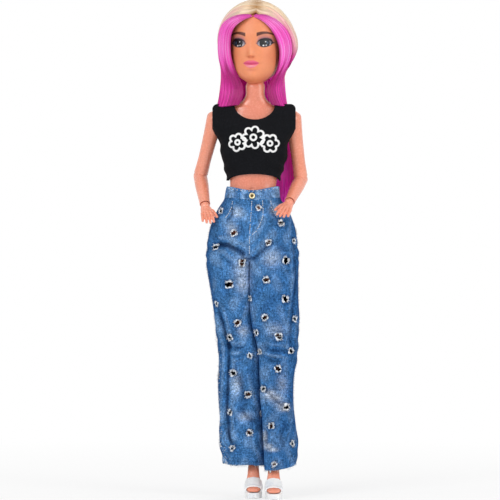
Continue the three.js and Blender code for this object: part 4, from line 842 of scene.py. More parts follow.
front_left = net([
    guide((253.2, 16.2, -13), (261, 19.6, -15), (269.6, 27, -14.6), (276, 37.5, -12.8), (279.6, 49, -10.8),
          (279.6, 61, -9.6), (277, 71, -7.6), (271, 80, -5), (266.6, 89, -4), (268, 97, -5.2),
          (271.6, 104.4, -7.6)),
    guide((254, 15.4, -13), (264, 18.2, -14.6), (274, 25, -13.4), (282, 35.5, -11.4), (285.6, 48, -9.4),
          (284.6, 60, -8.4), (280.6, 70, -7), (276, 79, -6), (273, 88, -5.4), (274.6, 97, -6.2),
          (278, 105, -8.2)),
    guide((255, 14.8, -12.6), (267, 16.8, -12.6), (279, 23.6, -10), (287.6, 34.6, -7.4), (291, 48, -5.4),
          (289, 60, -4.4), (284, 70, -3.8), (280.6, 79, -3.6), (279, 88, -3.4),
          (280.6, 97.5, -4.6), (284, 105.6, -6.8)),
    guide((255.6, 14.4, -12), (269, 15.6, -10.4), (281.6, 22.6, -6.4), (290.6, 33.6, -3.2), (294, 48, -1.2),
          (291.4, 60, -0.2), (286.4, 70, 0.8), (284, 79, 1.6), (283.4, 88, 1), (284.6, 98, -0.6),
          (287.4, 106, -3.4)),
])


def front_tone(s, t):
    streak = np.cos(s * 84 + 3 * t) * np.cos(s * 37 + 1)
    bright = blended(HOT_PINK, ROSE, 0.15 + 0.6 * streak)
    bright = blended(bright, MAGENTA, 0.5 * smooth(0.15, 0.9, -streak))
    # Painted sheen: two pale bands across the locks, near the top and halfway down.
    gloss = np.exp(-((t - 0.17) / 0.07) ** 2) + 0.8 * np.exp(-((t - 0.42) / 0.09) ** 2)
    bright = blended(bright, shade(255, 196, 236), 0.55 * gloss * (0.5 + 0.5 * streak))
    lower = blended(MAGENTA, DEEP, smooth(1.0, 0.35, s))
    ends = smooth(0.68, 0.84, t) * smooth(0.2, 0.6, s) * np.clip(0.4 + 0.8 * streak, 0, 1)
    lower = blended(lower, HOT_PINK, ends)
    mixed = blended(bright, lower, smooth(0.5, 0.66, t + 0.05 * np.cos(s * 17)))
    inner = blended(mixed, DEEP, smooth(0.1, 0.0, s) * smooth(0.15, 0.3, t) * 0.8)
    # Blond fibre shows at the outer edge in the darker honey tone: blond hair with painted shade on it.
    return blended(inner, HONEY, smooth(0.93, 1.0, s) * smooth(0.45, 0.6, t) * 0.75)


FRONT = {"right": front_right, "left": front_left}
for side, surface in FRONT.items():
    lock = hair_part(f"hair_lock_{side}_fibre", surface, front_tone, 30, 0.075, NAPE, (110, 110), 1.2)
    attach(lock, "head")
    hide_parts(f"hair_lock_{side}")

shell_at = through([
    (-8, 18.0, 8, 19.0, -0.6), (0, 18.4, 9, 19.4, -0.4), (8, 18.8, 12, 19.8, -0.2), (14, 20.4, 14, 20.2, 0.3),
    (18, 22.4, 15.2, 20.4, 0.8), (24.6, 24.0, 16.6, 21.2, 1.5), (31, 23.6, 17.0, 21.4, 1.1),
    (38.5, 20.9, 16.2, 20.4, 0.4), (43, 18.0, 14.6, 18.4, 0.2), (46.5, 15.0, 12.6, 15.8, 0.1),
    (49.5, 11.0, 9.6, 12.0, 0.1), (51.6, 7.0, 6.2, 7.6, 0.1), (52.8, 2.6, 2.4, 3.0, 0.1),
    (53.1, 0.4, 0.4, 0.4, 0.1),
])
SKULL_CENTRE = np.array((1.0, 1.5, 21.0))


def on_shell(ways):
    """Where rays from the middle of the skull leave the outside of the hair."""
    ways = ways / np.linalg.norm(ways, axis=1)[:, None]
    near, far = np.full(len(ways), 4.0), np.full(len(ways), 42.0)
    for _ in range(26):
        reach = (near + far) / 2
        x, y, z = (SKULL_CENTRE + ways * reach[:, None]).T
        wide, front, back, shift = shell_at(z)
        deep = np.where(y > 0, back, front)
        inside = (np.abs(x - shift) / wide) ** 2.2 + (np.abs(y) / deep) ** 2.2 < 1
        inside &= (z < 53.1) & (z > -8)
        near, far = np.where(inside, reach, near), np.where(inside, far, reach)
    return SKULL_CENTRE + ways * near[:, None]


def crown_guide(sign, share):
    """One line of fibre from the parting over the skull and down, at a share of the way back."""
    rise = 22.6 + 9.0 * math.sin(math.pi * min(share * 1.15, 1)) - 4 * share
    root = np.array((1.6 - 1.2 * share, -14.0 + 26 * share, rise))
    azimuth = math.radians(66 + 114 * share ** 0.8)
    fallen = 7.0 + 6 * smooth(0.15, 0.7, share) + 13 * smooth(0.3, 1.0, share)
    end = np.array((sign * 22 * math.sin(azimuth), -20 * math.cos(azimuth), -fallen))
    over = np.array((sign * 21 * (1 - share ** 3), -11.0 + 30 * share, 27.0 - 6 * share))
    t = np.linspace(0, 1, 14)[:, None]
    ways = root * (1 - t) ** 2 + over * 2 * t * (1 - t) + end * t ** 2
    points = on_shell(ways)
    points[:, 1] -= 2.2 * smooth(0.82, 1.0, t[:, 0]) * smooth(0.4, 0.7, share)
    return carried(points, HEAD_AT).tolist()


def crown_tone(s, t):
    streak = np.cos(s * 150 + 2 * t) * np.cos(s * 61 + 1)
    base = blended(PALE, HONEY, 0.22 + 0.3 * streak)
    base = blended(base, shade(176, 118, 44),
                   smooth(0.13, 0.0, t) * (0.6 + 0.3 * np.cos(s * 90)))
    base = blended(base, BEIGE, smooth(0.45, 0.75, t) * 0.5)
    base = blended(base, ROSE, smooth(0.13, 0.02, s) * smooth(0.1, 0.4, t) * (0.4 + 0.3 * streak))
    return blended(base, MAGENTA, smooth(0.8, 0.95, t + 0.05 * streak) * smooth(0.62, 0.42, s))


for side, sign in SIDES.items():
    lock_surface = FRONT[side]
    t = np.linspace(0, 0.62, 14)
    edge = lock_surface(np.full(14, 0.86), t) - 0.7 * outward(lock_surface, np.full(14, 0.86), t, NAPE)
    edge[0] = crown_guide(sign, 0.0)[0]
    surface = net([edge.tolist()] + [crown_guide(sign, share) for share in np.linspace(0.12, 1, 11)])
    crown = hair_part(f"hair_crown_{side}", surface, crown_tone, 46, 0.05, SKULL, (160, 110))
    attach(crown, "head")
    if sign < 0:
        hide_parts("hair_crown")

fall_at = through([
    (156.6, 8.4, 2.5, 17.4, 18.6), (162, 8.2, 7.5, 16.8, 19.2), (172, 7.6, 12.8, 15.8, 19.4),
    (186, 6.4, 17.4, 13.8, 18.6), (204, 5.6, 18.6, 12.4, 17.8), (224, 4.0, 18.2, 11.8, 17.8),
    (240, 1.8, 17.8, 11.6, 18.6), (250, 0.8, 18.0, 11.4, 19.6), (262, 0.8, 17.4, 11.0, 19.8),
])


def fall_rows(count=16):
    rows = []
    for angle in np.linspace(-0.5 * np.pi, 1.5 * np.pi, count):
        row = []
        for height in np.linspace(261, 156.8, 16):
            middle, wide, near, far = fall_at(height)
            deep = (far - near) / 2
            x, y = oval(np.array(angle), wide, deep, deep, 2.3)
            row.append((middle + float(x), near + deep + float(y), height))
        rows.append(row)
    return rows


def fall_tone(s, t):
    pink = blended(shade(255, 22, 198), MAGENTA, 0.2 + 0.3 * np.cos(s * 50 + 4 * t))
    pink = blended(pink, HOT_PINK, smooth(0.6, 1.0, t) * 0.5)
    behind = smooth(0.3, 0.1, np.abs(s - 0.5)) * smooth(0.75, 0.1, t + 0.1 * np.cos(s * 60))
    return blended(pink, PALE, behind)


fall = hair_part("hair_fall_fibre", net(fall_rows()), fall_tone, 90, 0.03, (4, 15.4, 205),
                 (220, 110), 0.9, 0.35)
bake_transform(fall, "torso", "neck", in_scene(0, 15, 231), in_scene(0, 15, 256))
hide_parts("hair_fall")

# Jeans
# Wide-leg denim trousers, worn through in small frayed holes, with a stitched
# fly, a waistband and one metal button. Sewn over the hips, loose on the legs.
denim = Finish("washed_denim", 0.92, Specular_IOR_Level=0.06)
cloth_place = denim.attribute("cloth_place")
weft = denim.noise(1.0, 3, 0.7, cloth_place, (3, 22, 1))
warp = denim.noise(1.0, 2, 0.6, cloth_place, (24, 2.5, 1))
mottle = denim.noise(210, 5, 0.75)
grain = denim.noise(1100, 3, 0.7)
twill = denim.node("ShaderNodeTexWave", wave_type="BANDS", bands_direction="DIAGONAL")
twill.inputs["Scale"].default_value = 5.6
twill.inputs["Distortion"].default_value = 1.4
denim.link(cloth_place, twill.inputs["Vector"])
# The denim's colour for each vertex: its mottling and rubbed patches, with painted shade and painted shadow
# in it.
denim_wash_and_shade = denim.attribute("wash_and_shade")
denim_colour = denim.mix("MULTIPLY", 0.9, denim_wash_and_shade, denim.grey(mottle, (0.34, 0.68), (0.66, 1.28)))
denim_colour = denim.mix("MULTIPLY", 0.9, denim_colour, denim.grey(grain, (0.38, 0.5), (0.62, 1.55)))
denim_colour = denim.mix("MULTIPLY", 0.8, denim_colour, denim.grey(warp, (0.3, 0.55), (0.7, 1.35)))
denim_colour = denim.mix("MULTIPLY", 0.6, denim_colour, denim.grey(weft, (0.3, 0.55), (0.7, 1.4)))
denim.colour(denim.mix("MULTIPLY", 0.55, denim_colour,
                       denim.grey(twill.outputs["Fac"], (0.2, 0.72), (0.8, 1.2))))
denim.bump(denim.mix("MIX", 0.5, twill.outputs["Fac"], mottle), 0.6, 0.16)

FIGURE = Matrix.Translation(SHIFT) @ Matrix.Scale(MM, 4)
# Pieces of one side: the seat with the thigh, and the knee with the calf
HEM, HEM_REACH = 17.0, 12.0
SEAT_TOP, CROTCH, THIGH_END = 179.6, 143.4, 115.0
HIP_FOLD, FOLD_ROUNDS = (137.5, 151.0), 26
HIP_BEND, KNEE_BEND = (151, 130), (101, 81)
SEAM_SPAN = {"seat_and_thigh": (116, 166), "knee_and_calf": (20, 114)}
FLY_X = -2.8
CLOTH_THICK = 0.45
SIDE_HOLES, RIM_TUFTS, SEAM_PITCH, HEM_THREADS = 26, 14, 0.55, 150
HIP_Z, KNEE_Z, ANKLE_Z = 153.0, 91.0, 22.0
legs_at = through([
    (16, -18.6, 6.4, 24.7, 11), (23, -19, 5.9, 25.6, 11.4), (30, -20.2, 5.8, 26, 11.6),
    (38, -21, 5.3, 25.6, 11.6), (47, -20.6, 4.8, 24.6, 11), (59, -21.4, 3.8, 24.1, 10.6),
    (72, -21.7, 3.3, 24.5, 10.4), (81, -21.1, 3, 26, 10.6), (91, -21.8, 2, 26.6, 11),
    (100, -23.2, -0.4, 26.6, 11.4), (108, -24.1, -2, 27, 11.8), (119, -25.4, -2.6, 26.6, 12.4),
    (130, -27, -2.7, 26.8, 13), (140, -28.4, -2.8, 27.2, 13.6), (150, -28.4, -2.8, 27.2, 14),
])
seat_at = through([
    (144, 27.8, 14, 15), (155, 26.9, 14.4, 15.4), (163, 25.4, 14.2, 15),
    (173, 21.6, 13.4, 14), (180, 17.8, 12.2, 12.4),
])


def leg_surface(sign):
    """The outside of one leg by turn (0..1) and height."""
    side = "left" if sign > 0 else "right"

    def place(u, z):
        right, split, left, deep = legs_at(z)
        edge = left if sign > 0 else right
        middle_y = ANKLE_Y[side] * np.clip((HIP_Z - z) / (HIP_Z - ANKLE_Z), 0, 1)
        inner = split - sign * 1.4
        x, y = oval(2 * np.pi * u, np.abs(edge - inner) / 2, deep, deep, 2.5)
        x, y = x + (edge + inner) / 2, y + middle_y
        wall = split + 0.4 * np.clip((z - KNEE_Z) / 10, 0, 1) * np.maximum(0, y + 3) - sign * 0.05
        return (np.maximum(x, wall) if sign > 0 else np.minimum(x, wall)), y
    return place


def tube(bm, place, low, high, around=96, levels=90):
    """A closed tube through rings that place(u, z) lays out, bottom to top."""
    u = np.arange(around) / around
    before = None
    for z in np.linspace(low, high, levels):
        x, y = place(u, np.full(around, z))
        ring = [bm.verts.new((px, py, z)) for px, py in zip(x, y)]
        edges = [bm.edges.new((ring[k], ring[(k + 1) % around])) for k in range(around)]
        if before is None:
            bmesh.ops.contextual_create(bm, geom=edges)
        else:
            bmesh.ops.bridge_loops(bm, edges=before + edges)
        before = edges
    bmesh.ops.contextual_create(bm, geom=before)


def waist_dip(x, y):
    """The waist sits lower at the middle of the front."""
    return 1.3 * np.exp(-((x + 1.2) / 9) ** 2) * smooth(2, -6, y)


def seat_surface(u, z):
    wide, front, back = seat_at(np.minimum(z, 180))
    drawn_in = smooth(172, 179.5, z)
    x, y = oval(2 * np.pi * u, wide - 0.9 * drawn_in, front - 0.4 * drawn_in, back - 0.4 * drawn_in, 2.4)
    return x - 0.9, y


# Creases as (points in the photograph, depth in millimetres, width)
CREASES = [
    ([(215, 244), (226, 245), (238, 250), (247, 257)], 1.25, 1.9),
    ([(274, 240), (266, 247), (258, 255), (251, 262)], 0.8, 1.7),
    ([(226, 250), (236, 256), (247, 266)], 0.5, 1.6),
    ([(226, 262), (235, 266), (245, 268)], 0.45, 1.5),
    ([(225, 343), (233, 349), (245, 348)], 0.8, 1.5),
    ([(230, 356), (238, 357), (246, 353)], 0.6, 1.2),
    ([(259, 345), (270, 350), (281, 351), (292, 354)], 0.75, 1.5),
    ([(262, 356), (272, 361), (284, 361)], 0.6, 1.3),
    ([(213.5, 300), (218.4, 310.6), (222.2, 323), (225.4, 337), (228, 344), (228.6, 356), (228, 375),
      (227, 394), (225.8, 412), (228.7, 435), (231, 447.5)], 1.0, 1.4),
    ([(292.6, 226), (294.7, 250), (296.4, 280), (294.8, 299), (291.6, 328), (291, 337), (292.3, 363)],
     0.7, 1.2),
    ([(238, 372), (243, 392), (248, 412)], 0.7, 2.4),
    ([(236, 402), (246, 416), (256, 424)], 0.7, 1.8),
    ([(262, 386), (272, 397), (286, 408)], 0.7, 1.8),
    ([(266, 428), (265, 440), (268, 452)], 0.7, 1.6),
    ([(286, 420), (281, 436), (284, 452)], 0.6, 1.8),
    ([(222, 425), (229, 440), (240, 450)], 0.6, 1.8),
    ([(233, 201), (232, 214), (224, 224)], 0.6, 0.9),
    ([(271, 201), (274, 214), (284, 224)], 0.6, 0.9),
    ([(240, 290), (246, 310), (249, 330)], 0.4, 2.2),
    ([(268, 300), (262, 318), (258, 334)], 0.4, 2.2),
]


def crease_depth(points, front):
    """How far the creases press in, and their lifted edges stand out, at each point."""
    depth = np.zeros(len(points))
    x, z = points[:, 0], points[:, 2]
    for line, deep, wide in CREASES:
        path = np.array([seen_at(a, b, -11) for a, b in line])[:, (0, 2)]
        nearest = np.full(len(points), 1e9)
        share = np.zeros(len(points))
        for k in range(len(path) - 1):
            way = path[k + 1] - path[k]
            t = np.clip(((x - path[k, 0]) * way[0] + (z - path[k, 1]) * way[1]) / way.dot(way), 0, 1)
            far = np.hypot(x - path[k, 0] - t * way[0], z - path[k, 1] - t * way[1])
            closer = far < nearest
            nearest = np.where(closer, far, nearest)
            share = np.where(closer, (k + t) / (len(path) - 1), share)
        ends = smooth(-0.02, 0.16, share) * smooth(1.02, 0.84, share)
        valley, ridge = np.exp(-(nearest / wide) ** 2), np.exp(-((nearest - 2.1 * wide) / wide) ** 2)
        depth += ends * deep * (valley - 0.45 * ridge)
    return depth * front


def soft_waves(points):
    """Broad slack of the cloth, fuller towards the hems and gathered at the knees."""
    x, y, z = points.T
    turn = np.arctan2(y, np.where(x > 0, x - 14, x + 12))
    low = np.clip((150 - z) / 130, 0, 1)
    wave = 0.55 * low * np.cos(3 * turn + 0.06 * z * np.sign(x)) + 0.3 * np.cos(5 * turn - 0.11 * z)
    wave += 0.35 * np.exp(-((z - KNEE_Z) / 13) ** 2) * np.cos(0.7 * z + 2.4 * turn)
    wave += 0.3 * np.exp(-((z - 30) / 14) ** 2) * np.cos(0.5 * z - 3 * turn)
    wave += 0.35 * np.exp(-((z - 146) / 9) ** 2) * np.cos(0.9 * z + 4 * turn) * (y > -6)
    return wave


# Worn holes: photograph place and size in millimetres; the sides and back are scattered by chance
HOLES = [
    (220.6, 211, 1.0), (233.6, 233, 1.2), (215.7, 247, 1.1), (242, 262.6, 1.5), (229, 284.5, 1.5),
    (258.6, 207.7, 0.9), (268.4, 242.5, 1.1), (281, 223, 1.2), (285.8, 260.4, 1.3), (266.2, 280, 1.2),
    (285.3, 299, 1.3), (250, 298.7, 0.9), (216.5, 303.7, 0.9), (237.5, 322.8, 1.2), (264.7, 317.5, 1.1),
    (294.9, 319, 0.9), (229.5, 337.8, 1.1), (256.2, 332.8, 0.9), (278.8, 336.6, 1.4), (250, 355.7, 0.8),
    (259.7, 352, 0.9), (291, 351, 1.0), (233, 373, 1.2), (278, 368.8, 1.2), (248.2, 394.4, 1.2),
    (263.3, 389, 0.9), (286.5, 407.2, 1.2), (229.8, 412.5, 1.1), (271.2, 425.9, 1.1), (249.4, 432.8, 1.1),
    (292.6, 443.5, 0.9), (232.1, 448, 0.9), (274.2, 464.2, 0.8),
]

# White stitching, traced on the photograph: the fly, its curve and both pocket edges
STITCHES = [
    [(251.8, 201), (251.2, 212), (250.2, 224), (249.6, 236), (249.4, 246), (249.4, 256)],
    [(262.4, 200.5), (263, 208), (263, 215), (261, 222), (256.6, 231), (250.6, 236)],
    [(232.6, 201), (231.8, 207), (229, 213), (224.5, 219)],
    [(270.6, 201), (271.4, 207), (274, 213), (278.5, 219)],
]
STITCH_PITCH, STITCH_LONG = 1.25, 0.85


def stitched(bm, tree, line, lift=0.06):
    """Stitches at an even pitch along a line of the photograph, laid on the cloth."""
    spots = [spot for spot, normal in (ray_at(tree, *point) for point in line) if spot is not None]
    if len(spots) < len(line):
        return
    for start, end in zip(line, line[1:]):
        long = math.dist(start, end) * VIEW["span"] / 500
        for k in range(int(long / STITCH_PITCH)):
            ends = []
            for share in (k * STITCH_PITCH / long, (k * STITCH_PITCH + STITCH_LONG) / long):
                spot, normal = ray_at(tree, *(a + (b - a) * share for a, b in zip(start, end)))
                if spot is not None:
                    ends.append((spot + normal * lift, normal))
            if len(ends) == 2:
                thread(bm, ends[0][0], ends[1][0], 0.36, 0.1, ends[0][1])


DENIM_BASE = shade(66, 116, 170)
DENIM_DARK = shade(28, 76, 132)
DENIM_PAINTED_SHADE = shade(6, 28, 66)
DENIM_PALE = shade(148, 184, 224)
DENIM_WORN = shade(216, 226, 238)
THREAD = shade(226, 232, 238)

# Patches that are rubbed pale: photograph place, then half width and half height in millimetres
PALE_PATCHES = [
    (237, 213, 3.2, 3.0), (243, 331, 3.0, 3.0), (242, 268, 4.5, 6.5), (243, 284, 4.0, 5.0),
    (270, 394, 3.4, 2.4), (276, 398, 3.6, 2.2), (282, 405, 3.4, 1.8), (284, 409, 3.0, 1.4),
    (265, 437, 1.2, 3.4), (268, 446, 2.6, 1.6), (273, 449, 2.8, 1.2), (245, 417, 4.0, 2.4),
    (276, 330, 5.0, 4.0), (272, 258, 5.0, 5.0), (236, 384, 3.0, 6.0), (282, 384, 3.0, 6.0),
    (232, 230, 3.0, 4.0), (276, 210, 3.5, 3.0),
]


def faded(points, normals, creased):
    """The colour of the denim: mottled, pale where rubbed, with painted shade on the sides and painted shadow
    in creases.
    """
    x, y, z = points.T
    front = smooth(0.15, 0.85, -normals[:, 1])
    # Painted shade: the sides that turn away from the front are darker.
    colour = blended(DENIM_DARK, DENIM_BASE, 0.25 + 0.75 * front)
    cloud = np.cos(0.31 * x + 1.3 * np.cos(0.17 * z)) * np.cos(0.23 * z + 1.7 * np.cos(0.21 * x + 0.4 * y))
    colour = blended(colour, DENIM_PALE, 0.3 * smooth(0.1, 0.9, cloud))
    colour = blended(colour, DENIM_DARK, 0.35 * smooth(-0.1, -0.9, cloud))
    for across, down, wide, tall in PALE_PATCHES:
        at = seen_at(across, down, -11)
        patch = np.exp(-((x - at[0]) / wide) ** 2 - ((z - at[2]) / tall) ** 2)
        rubbed = 0.7 + 0.3 * np.cos(2.6 * z + 3 * np.cos(0.9 * x)) * np.cos(1.7 * x + 0.8 * z)
        share = 1.3 if wide * tall < 9 else 0.6
        colour = blended(colour, DENIM_WORN, np.clip(share * patch * rubbed, 0, 0.95) * (y < 2))
    left_leg = smooth(4, 14, x) * smooth(160, 120, z) + 0.6 * smooth(8, 20, x) * smooth(120, 160, z)
    colour = blended(colour, DENIM_DARK, 0.38 * left_leg * (y < 4))
    # Painted shadow in the creases.
    colour = blended(colour, DENIM_PAINTED_SHADE, 0.85 * smooth(0.1, 1.1, creased))
    return blended(colour, DENIM_PALE, 0.3 * smooth(0.1, 0.5, -creased))


def hem_line(x, y, sign):
    """Height of the lower edge: the right leg's is slit and lifts at its outer flap."""
    if sign > 0:
        return 16.2 + 0.05 * np.abs(x - 14) + 0.016 * np.maximum(x - 11, 0) ** 2
    flap = smooth(-14.2, -15.2, x) * smooth(6, -2, y)
    return 19.0 - 0.03 * (x + 5) + flap * (0.4 + 1.9 * np.maximum(0, -15.6 - x))


def ray_at(tree, across, down):
    """Where the camera's ray through a place in the photograph meets the cloth."""
    eye = Vector((VIEW["x"], -VIEW["distance"], VIEW["height"]))
    way = Vector(seen_at(across, down, 0)) - eye
    place, normal, face, reach = tree.ray_cast(eye, way.normalized())
    return place, normal


def pierced(bm, holes):
    """Frayed holes: the cloth is cut finer round each, then its middle taken out."""
    rng = np.random.default_rng(5)
    for centre, normal, size in holes:
        near = [f for f in bm.faces if (f.calc_center_median() - centre).length < size + 1.2]
        edges = list(dict.fromkeys(e for f in near for e in f.edges))
        bmesh.ops.subdivide_edges(bm, edges=edges, cuts=2, use_grid_fill=True)
        ragged = rng.uniform(0, 2 * np.pi, 3)
        across = normal.orthogonal().normalized()
        over = normal.cross(across)
        gone = []
        for face in bm.faces:
            away = face.calc_center_median() - centre
            if away.length > size * 1.6:
                continue
            angle = math.atan2(away.dot(over), away.dot(across))
            torn = 0.28 * math.sin(2 * angle + ragged[0]) + 0.16 * math.sin(5 * angle + ragged[1])
            if away.length < size * (1.0 + torn):
                gone.append(face)
        bmesh.ops.delete(bm, geom=gone, context="FACES")


def thread(bm, start, end, width, lift, normal, bow=0.0):
    """A thread of three flat faces with a raised spine."""
    way = (end - start).normalized()
    side_way = way.cross(normal).normalized() * width / 2
    rows = []
    for share in (0.0, 0.33, 0.67, 1.0):
        arch, bend = math.sin(math.pi * share), math.sin(3 * share)
        middle = start.lerp(end, share) + normal * lift * arch + side_way * bow * bend
        rows.append([bm.verts.new(middle - side_way), bm.verts.new(middle + normal * width * 0.6),
                     bm.verts.new(middle + side_way)])
    for low, high in zip(rows, rows[1:]):
        for k in range(2):
            bm.faces.new((low[k], low[k + 1], high[k + 1], high[k]))
        bm.faces.new((low[2], low[0], high[0], high[2]))


def without(bm, gone):
    """Takes out the faces that a test picks, and the corners that they leave bare."""
    bmesh.ops.delete(bm, geom=[f for f in bm.faces if gone(f)], context="FACES")
    bmesh.ops.delete(bm, geom=[v for v in bm.verts if not v.link_faces], context="VERTS")


def sliced(bm, place, way, **settings):
    """Cuts every face that a plane crosses."""
    everything = [*bm.verts, *bm.edges, *bm.faces]
    bmesh.ops.bisect_plane(bm, geom=everything, plane_co=place, plane_no=way, **settings)


def drawn(name, bm, material):
    """Threads or strokes that were laid out in millimetres, as a piece of the scene."""
    bmesh.ops.recalc_face_normals(bm, faces=bm.faces)
    bmesh.ops.transform(bm, matrix=FIGURE, verts=bm.verts)
    return piece(name, bm, material)


cotton = Finish("white_cotton_thread", 0.8, Sheen_Weight=0.2)
cotton.colour(cotton.mix("MIX", cotton.noise(900), linear(206, 214, 224), linear(246, 247, 248)))
cotton.bump(cotton.noise(3000, 2), 0.4, 0.05)

for side, sign in SIDES.items():
    bm = bmesh.new()
    tube(bm, seat_surface, 144.2, SEAT_TOP + 3, 120, 44)
    tube(bm, leg_surface(sign), HEM, 149, 110, 100)
    bmesh.ops.recalc_face_normals(bm, faces=bm.faces)
    body = piece(f"jeans_{side}_form", bm, denim.material)
    melted(body, 0.62, 7)
    bm = bmesh.new()
    bm.from_mesh(body.data)
    hip_crease = [v for v in bm.verts if HIP_FOLD[0] < v.co.z < HIP_FOLD[1]]
    for _ in range(FOLD_ROUNDS):
        bmesh.ops.smooth_vert(bm, verts=hip_crease, factor=0.5,
                              use_axis_x=True, use_axis_y=True, use_axis_z=True)
    bm.to_mesh(body.data)
    bm.free()
    co = triples(body.data.vertices, "co")
    normals = triples(body.data.vertex_normals, "vector")
    front = smooth(0.0, 0.5, -normals[:, 1])
    creased = crease_depth(co, front)
    held_top = smooth(SEAT_TOP - 1, SEAT_TOP - 9, co[:, 2])
    free = smooth(0.75, 0.3, -normals[:, 0] * sign)
    waves = soft_waves(co) * held_top * free * 0.9
    co = co - normals * (creased * held_top)[:, None] + normals * waves[:, None]
    low_edge = hem_line(co[:, 0], co[:, 1], sign)
    pulled = low_edge + (co[:, 2] - HEM) * (HEM + HEM_REACH - low_edge) / HEM_REACH
    co[:, 2] = np.where(co[:, 2] < HEM + HEM_REACH, pulled, co[:, 2])
    body.data.vertices.foreach_set("co", co.ravel())
    bm = bmesh.new()
    bm.from_mesh(body.data)
    bpy.data.objects.remove(body)
    crease_layer = bm.verts.layers.float.new("creased")
    for vert, value in zip(bm.verts, creased):
        vert[crease_layer] = value
    sliced(bm, (0, 0, SEAT_TOP + 1.0), (0, 0, 1), clear_outer=True)
    for vert in bm.verts:
        if vert.co.z > SEAT_TOP - 14:
            share = float(smooth(SEAT_TOP - 14, SEAT_TOP, vert.co.z))
            vert.co.z -= share * float(waist_dip(vert.co.x, vert.co.y))
    upper_part = [f for f in bm.faces if f.calc_center_median().z > CROTCH]
    upper_edges = dict.fromkeys(e for f in upper_part for e in f.edges)
    upper_corners = dict.fromkeys(v for f in upper_part for v in f.verts)
    bmesh.ops.bisect_plane(bm, geom=[*upper_corners, *upper_edges, *upper_part],
                           plane_co=(FLY_X + sign * 0.02, 0, 0), plane_no=(1, 0, 0))

    def not_this_leg(face):
        x, y, z = face.calc_center_median()
        past_the_fly = z > CROTCH + 0.2 and (x - FLY_X) * sign < 0
        bottom_lid = abs(face.normal.z) > 0.8 and z < HEM + 4.5
        return past_the_fly or bottom_lid

    without(bm, not_this_leg)
    sliced(bm, (0, 0, THIGH_END), (0, 0, 1))
    tree = BVHTree.FromBMesh(bm)
    rng = np.random.default_rng(11 if sign > 0 else 12)
    holes = []
    for across, down, size in HOLES:
        place, normal = ray_at(tree, across, down)
        if place is not None:
            holes.append((place, normal, size * 1.25))
    for k in range(SIDE_HOLES):
        height = 30 + 140 * (k + rng.uniform(0.1, 0.9)) / SIDE_HOLES
        turn = rng.uniform(-0.15, np.pi + 0.15)
        start = Vector((sign * 13 + 60 * math.cos(turn), 60 * math.sin(turn), height))
        aim = Vector((sign * 13, 0, height)) - start
        place, normal, face, reach = tree.ray_cast(start, aim.normalized())
        if place is not None and 28 < place.z < 172:
            holes.append((place, normal, rng.uniform(0.8, 1.3)))
    pierced(bm, holes)
    for name, keep_high in (("seat_and_thigh", True), ("knee_and_calf", False)):
        half = bm.copy()
        without(half, lambda f: (f.calc_center_median().z > THIGH_END) != keep_high)
        layer_here = half.verts.layers.float["creased"]
        creased = np.array([v[layer_here] for v in half.verts])
        co = np.array([v.co for v in half.verts])
        normals = np.array([v.normal for v in half.verts])
        colour = faded(co, normals, creased)
        for centre, normal, size in holes:
            away = co - np.array(centre)
            far = np.linalg.norm(away, axis=1)
            bearing = np.arctan2(away[:, 2], away[:, 0])
            torn = np.abs(np.sin(2 * bearing + centre.z)) * np.abs(np.cos(1.5 * bearing + centre.x))
            rim = size + 0.15 + 0.75 * torn
            colour = blended(colour, THREAD, 0.95 * smooth(rim + 0.35, rim - 0.1, far))
            # Painted shade: a darker ring of cloth round each hole, outside its white rim.
            ring = smooth(rim, rim + 0.5, far) * smooth(size + 2.4, size + 1.2, far)
            colour = blended(colour, DENIM_PAINTED_SHADE, 0.4 * ring)
        edge_low = hem_line(co[:, 0], co[:, 1], sign)
        colour = blended(colour, DENIM_PALE, 0.6 * smooth(1.0, 0.2, np.abs(co[:, 2] - edge_low)))
        colour = blended(colour, DENIM_DARK, 0.5 * smooth(0.5, 0.0, np.abs(co[:, 2] - edge_low - 2.6)))
        right, split, left, deep = legs_at(co[:, 2])
        centre_x = (split + (left if sign > 0 else right)) / 2
        turn = np.arctan2((co[:, 0] - centre_x) * sign, -co[:, 1])
        cloth_at = np.stack([turn * 1.3, co[:, 2] / 10, 0 * turn], axis=1)
        bmesh.ops.transform(half, matrix=FIGURE, verts=half.verts)
        cloth = piece(f"jeans_{name}_{side}", half, denim.material)
        painted(cloth, "wash_and_shade", colour)
        painted(cloth, "cloth_place", cloth_at)
        wall = cloth.modifiers.new("thickness", "SOLIDIFY")
        wall.thickness = CLOTH_THICK * MM
        wall.offset = -1
        applied(cloth)
        if keep_high:
            bend = "torso", f"thigh_{side}", *(in_scene(0, 0, z) for z in HIP_BEND)
            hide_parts(f"jeans_seat_{side}", f"jeans_thigh_{side}")
        else:
            bend = f"thigh_{side}", f"lower_leg_{side}", *(in_scene(0, 0, z) for z in KNEE_BEND)
            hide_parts(f"jeans_knee_{side}", f"jeans_calf_{side}")
        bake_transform(cloth, *bend)
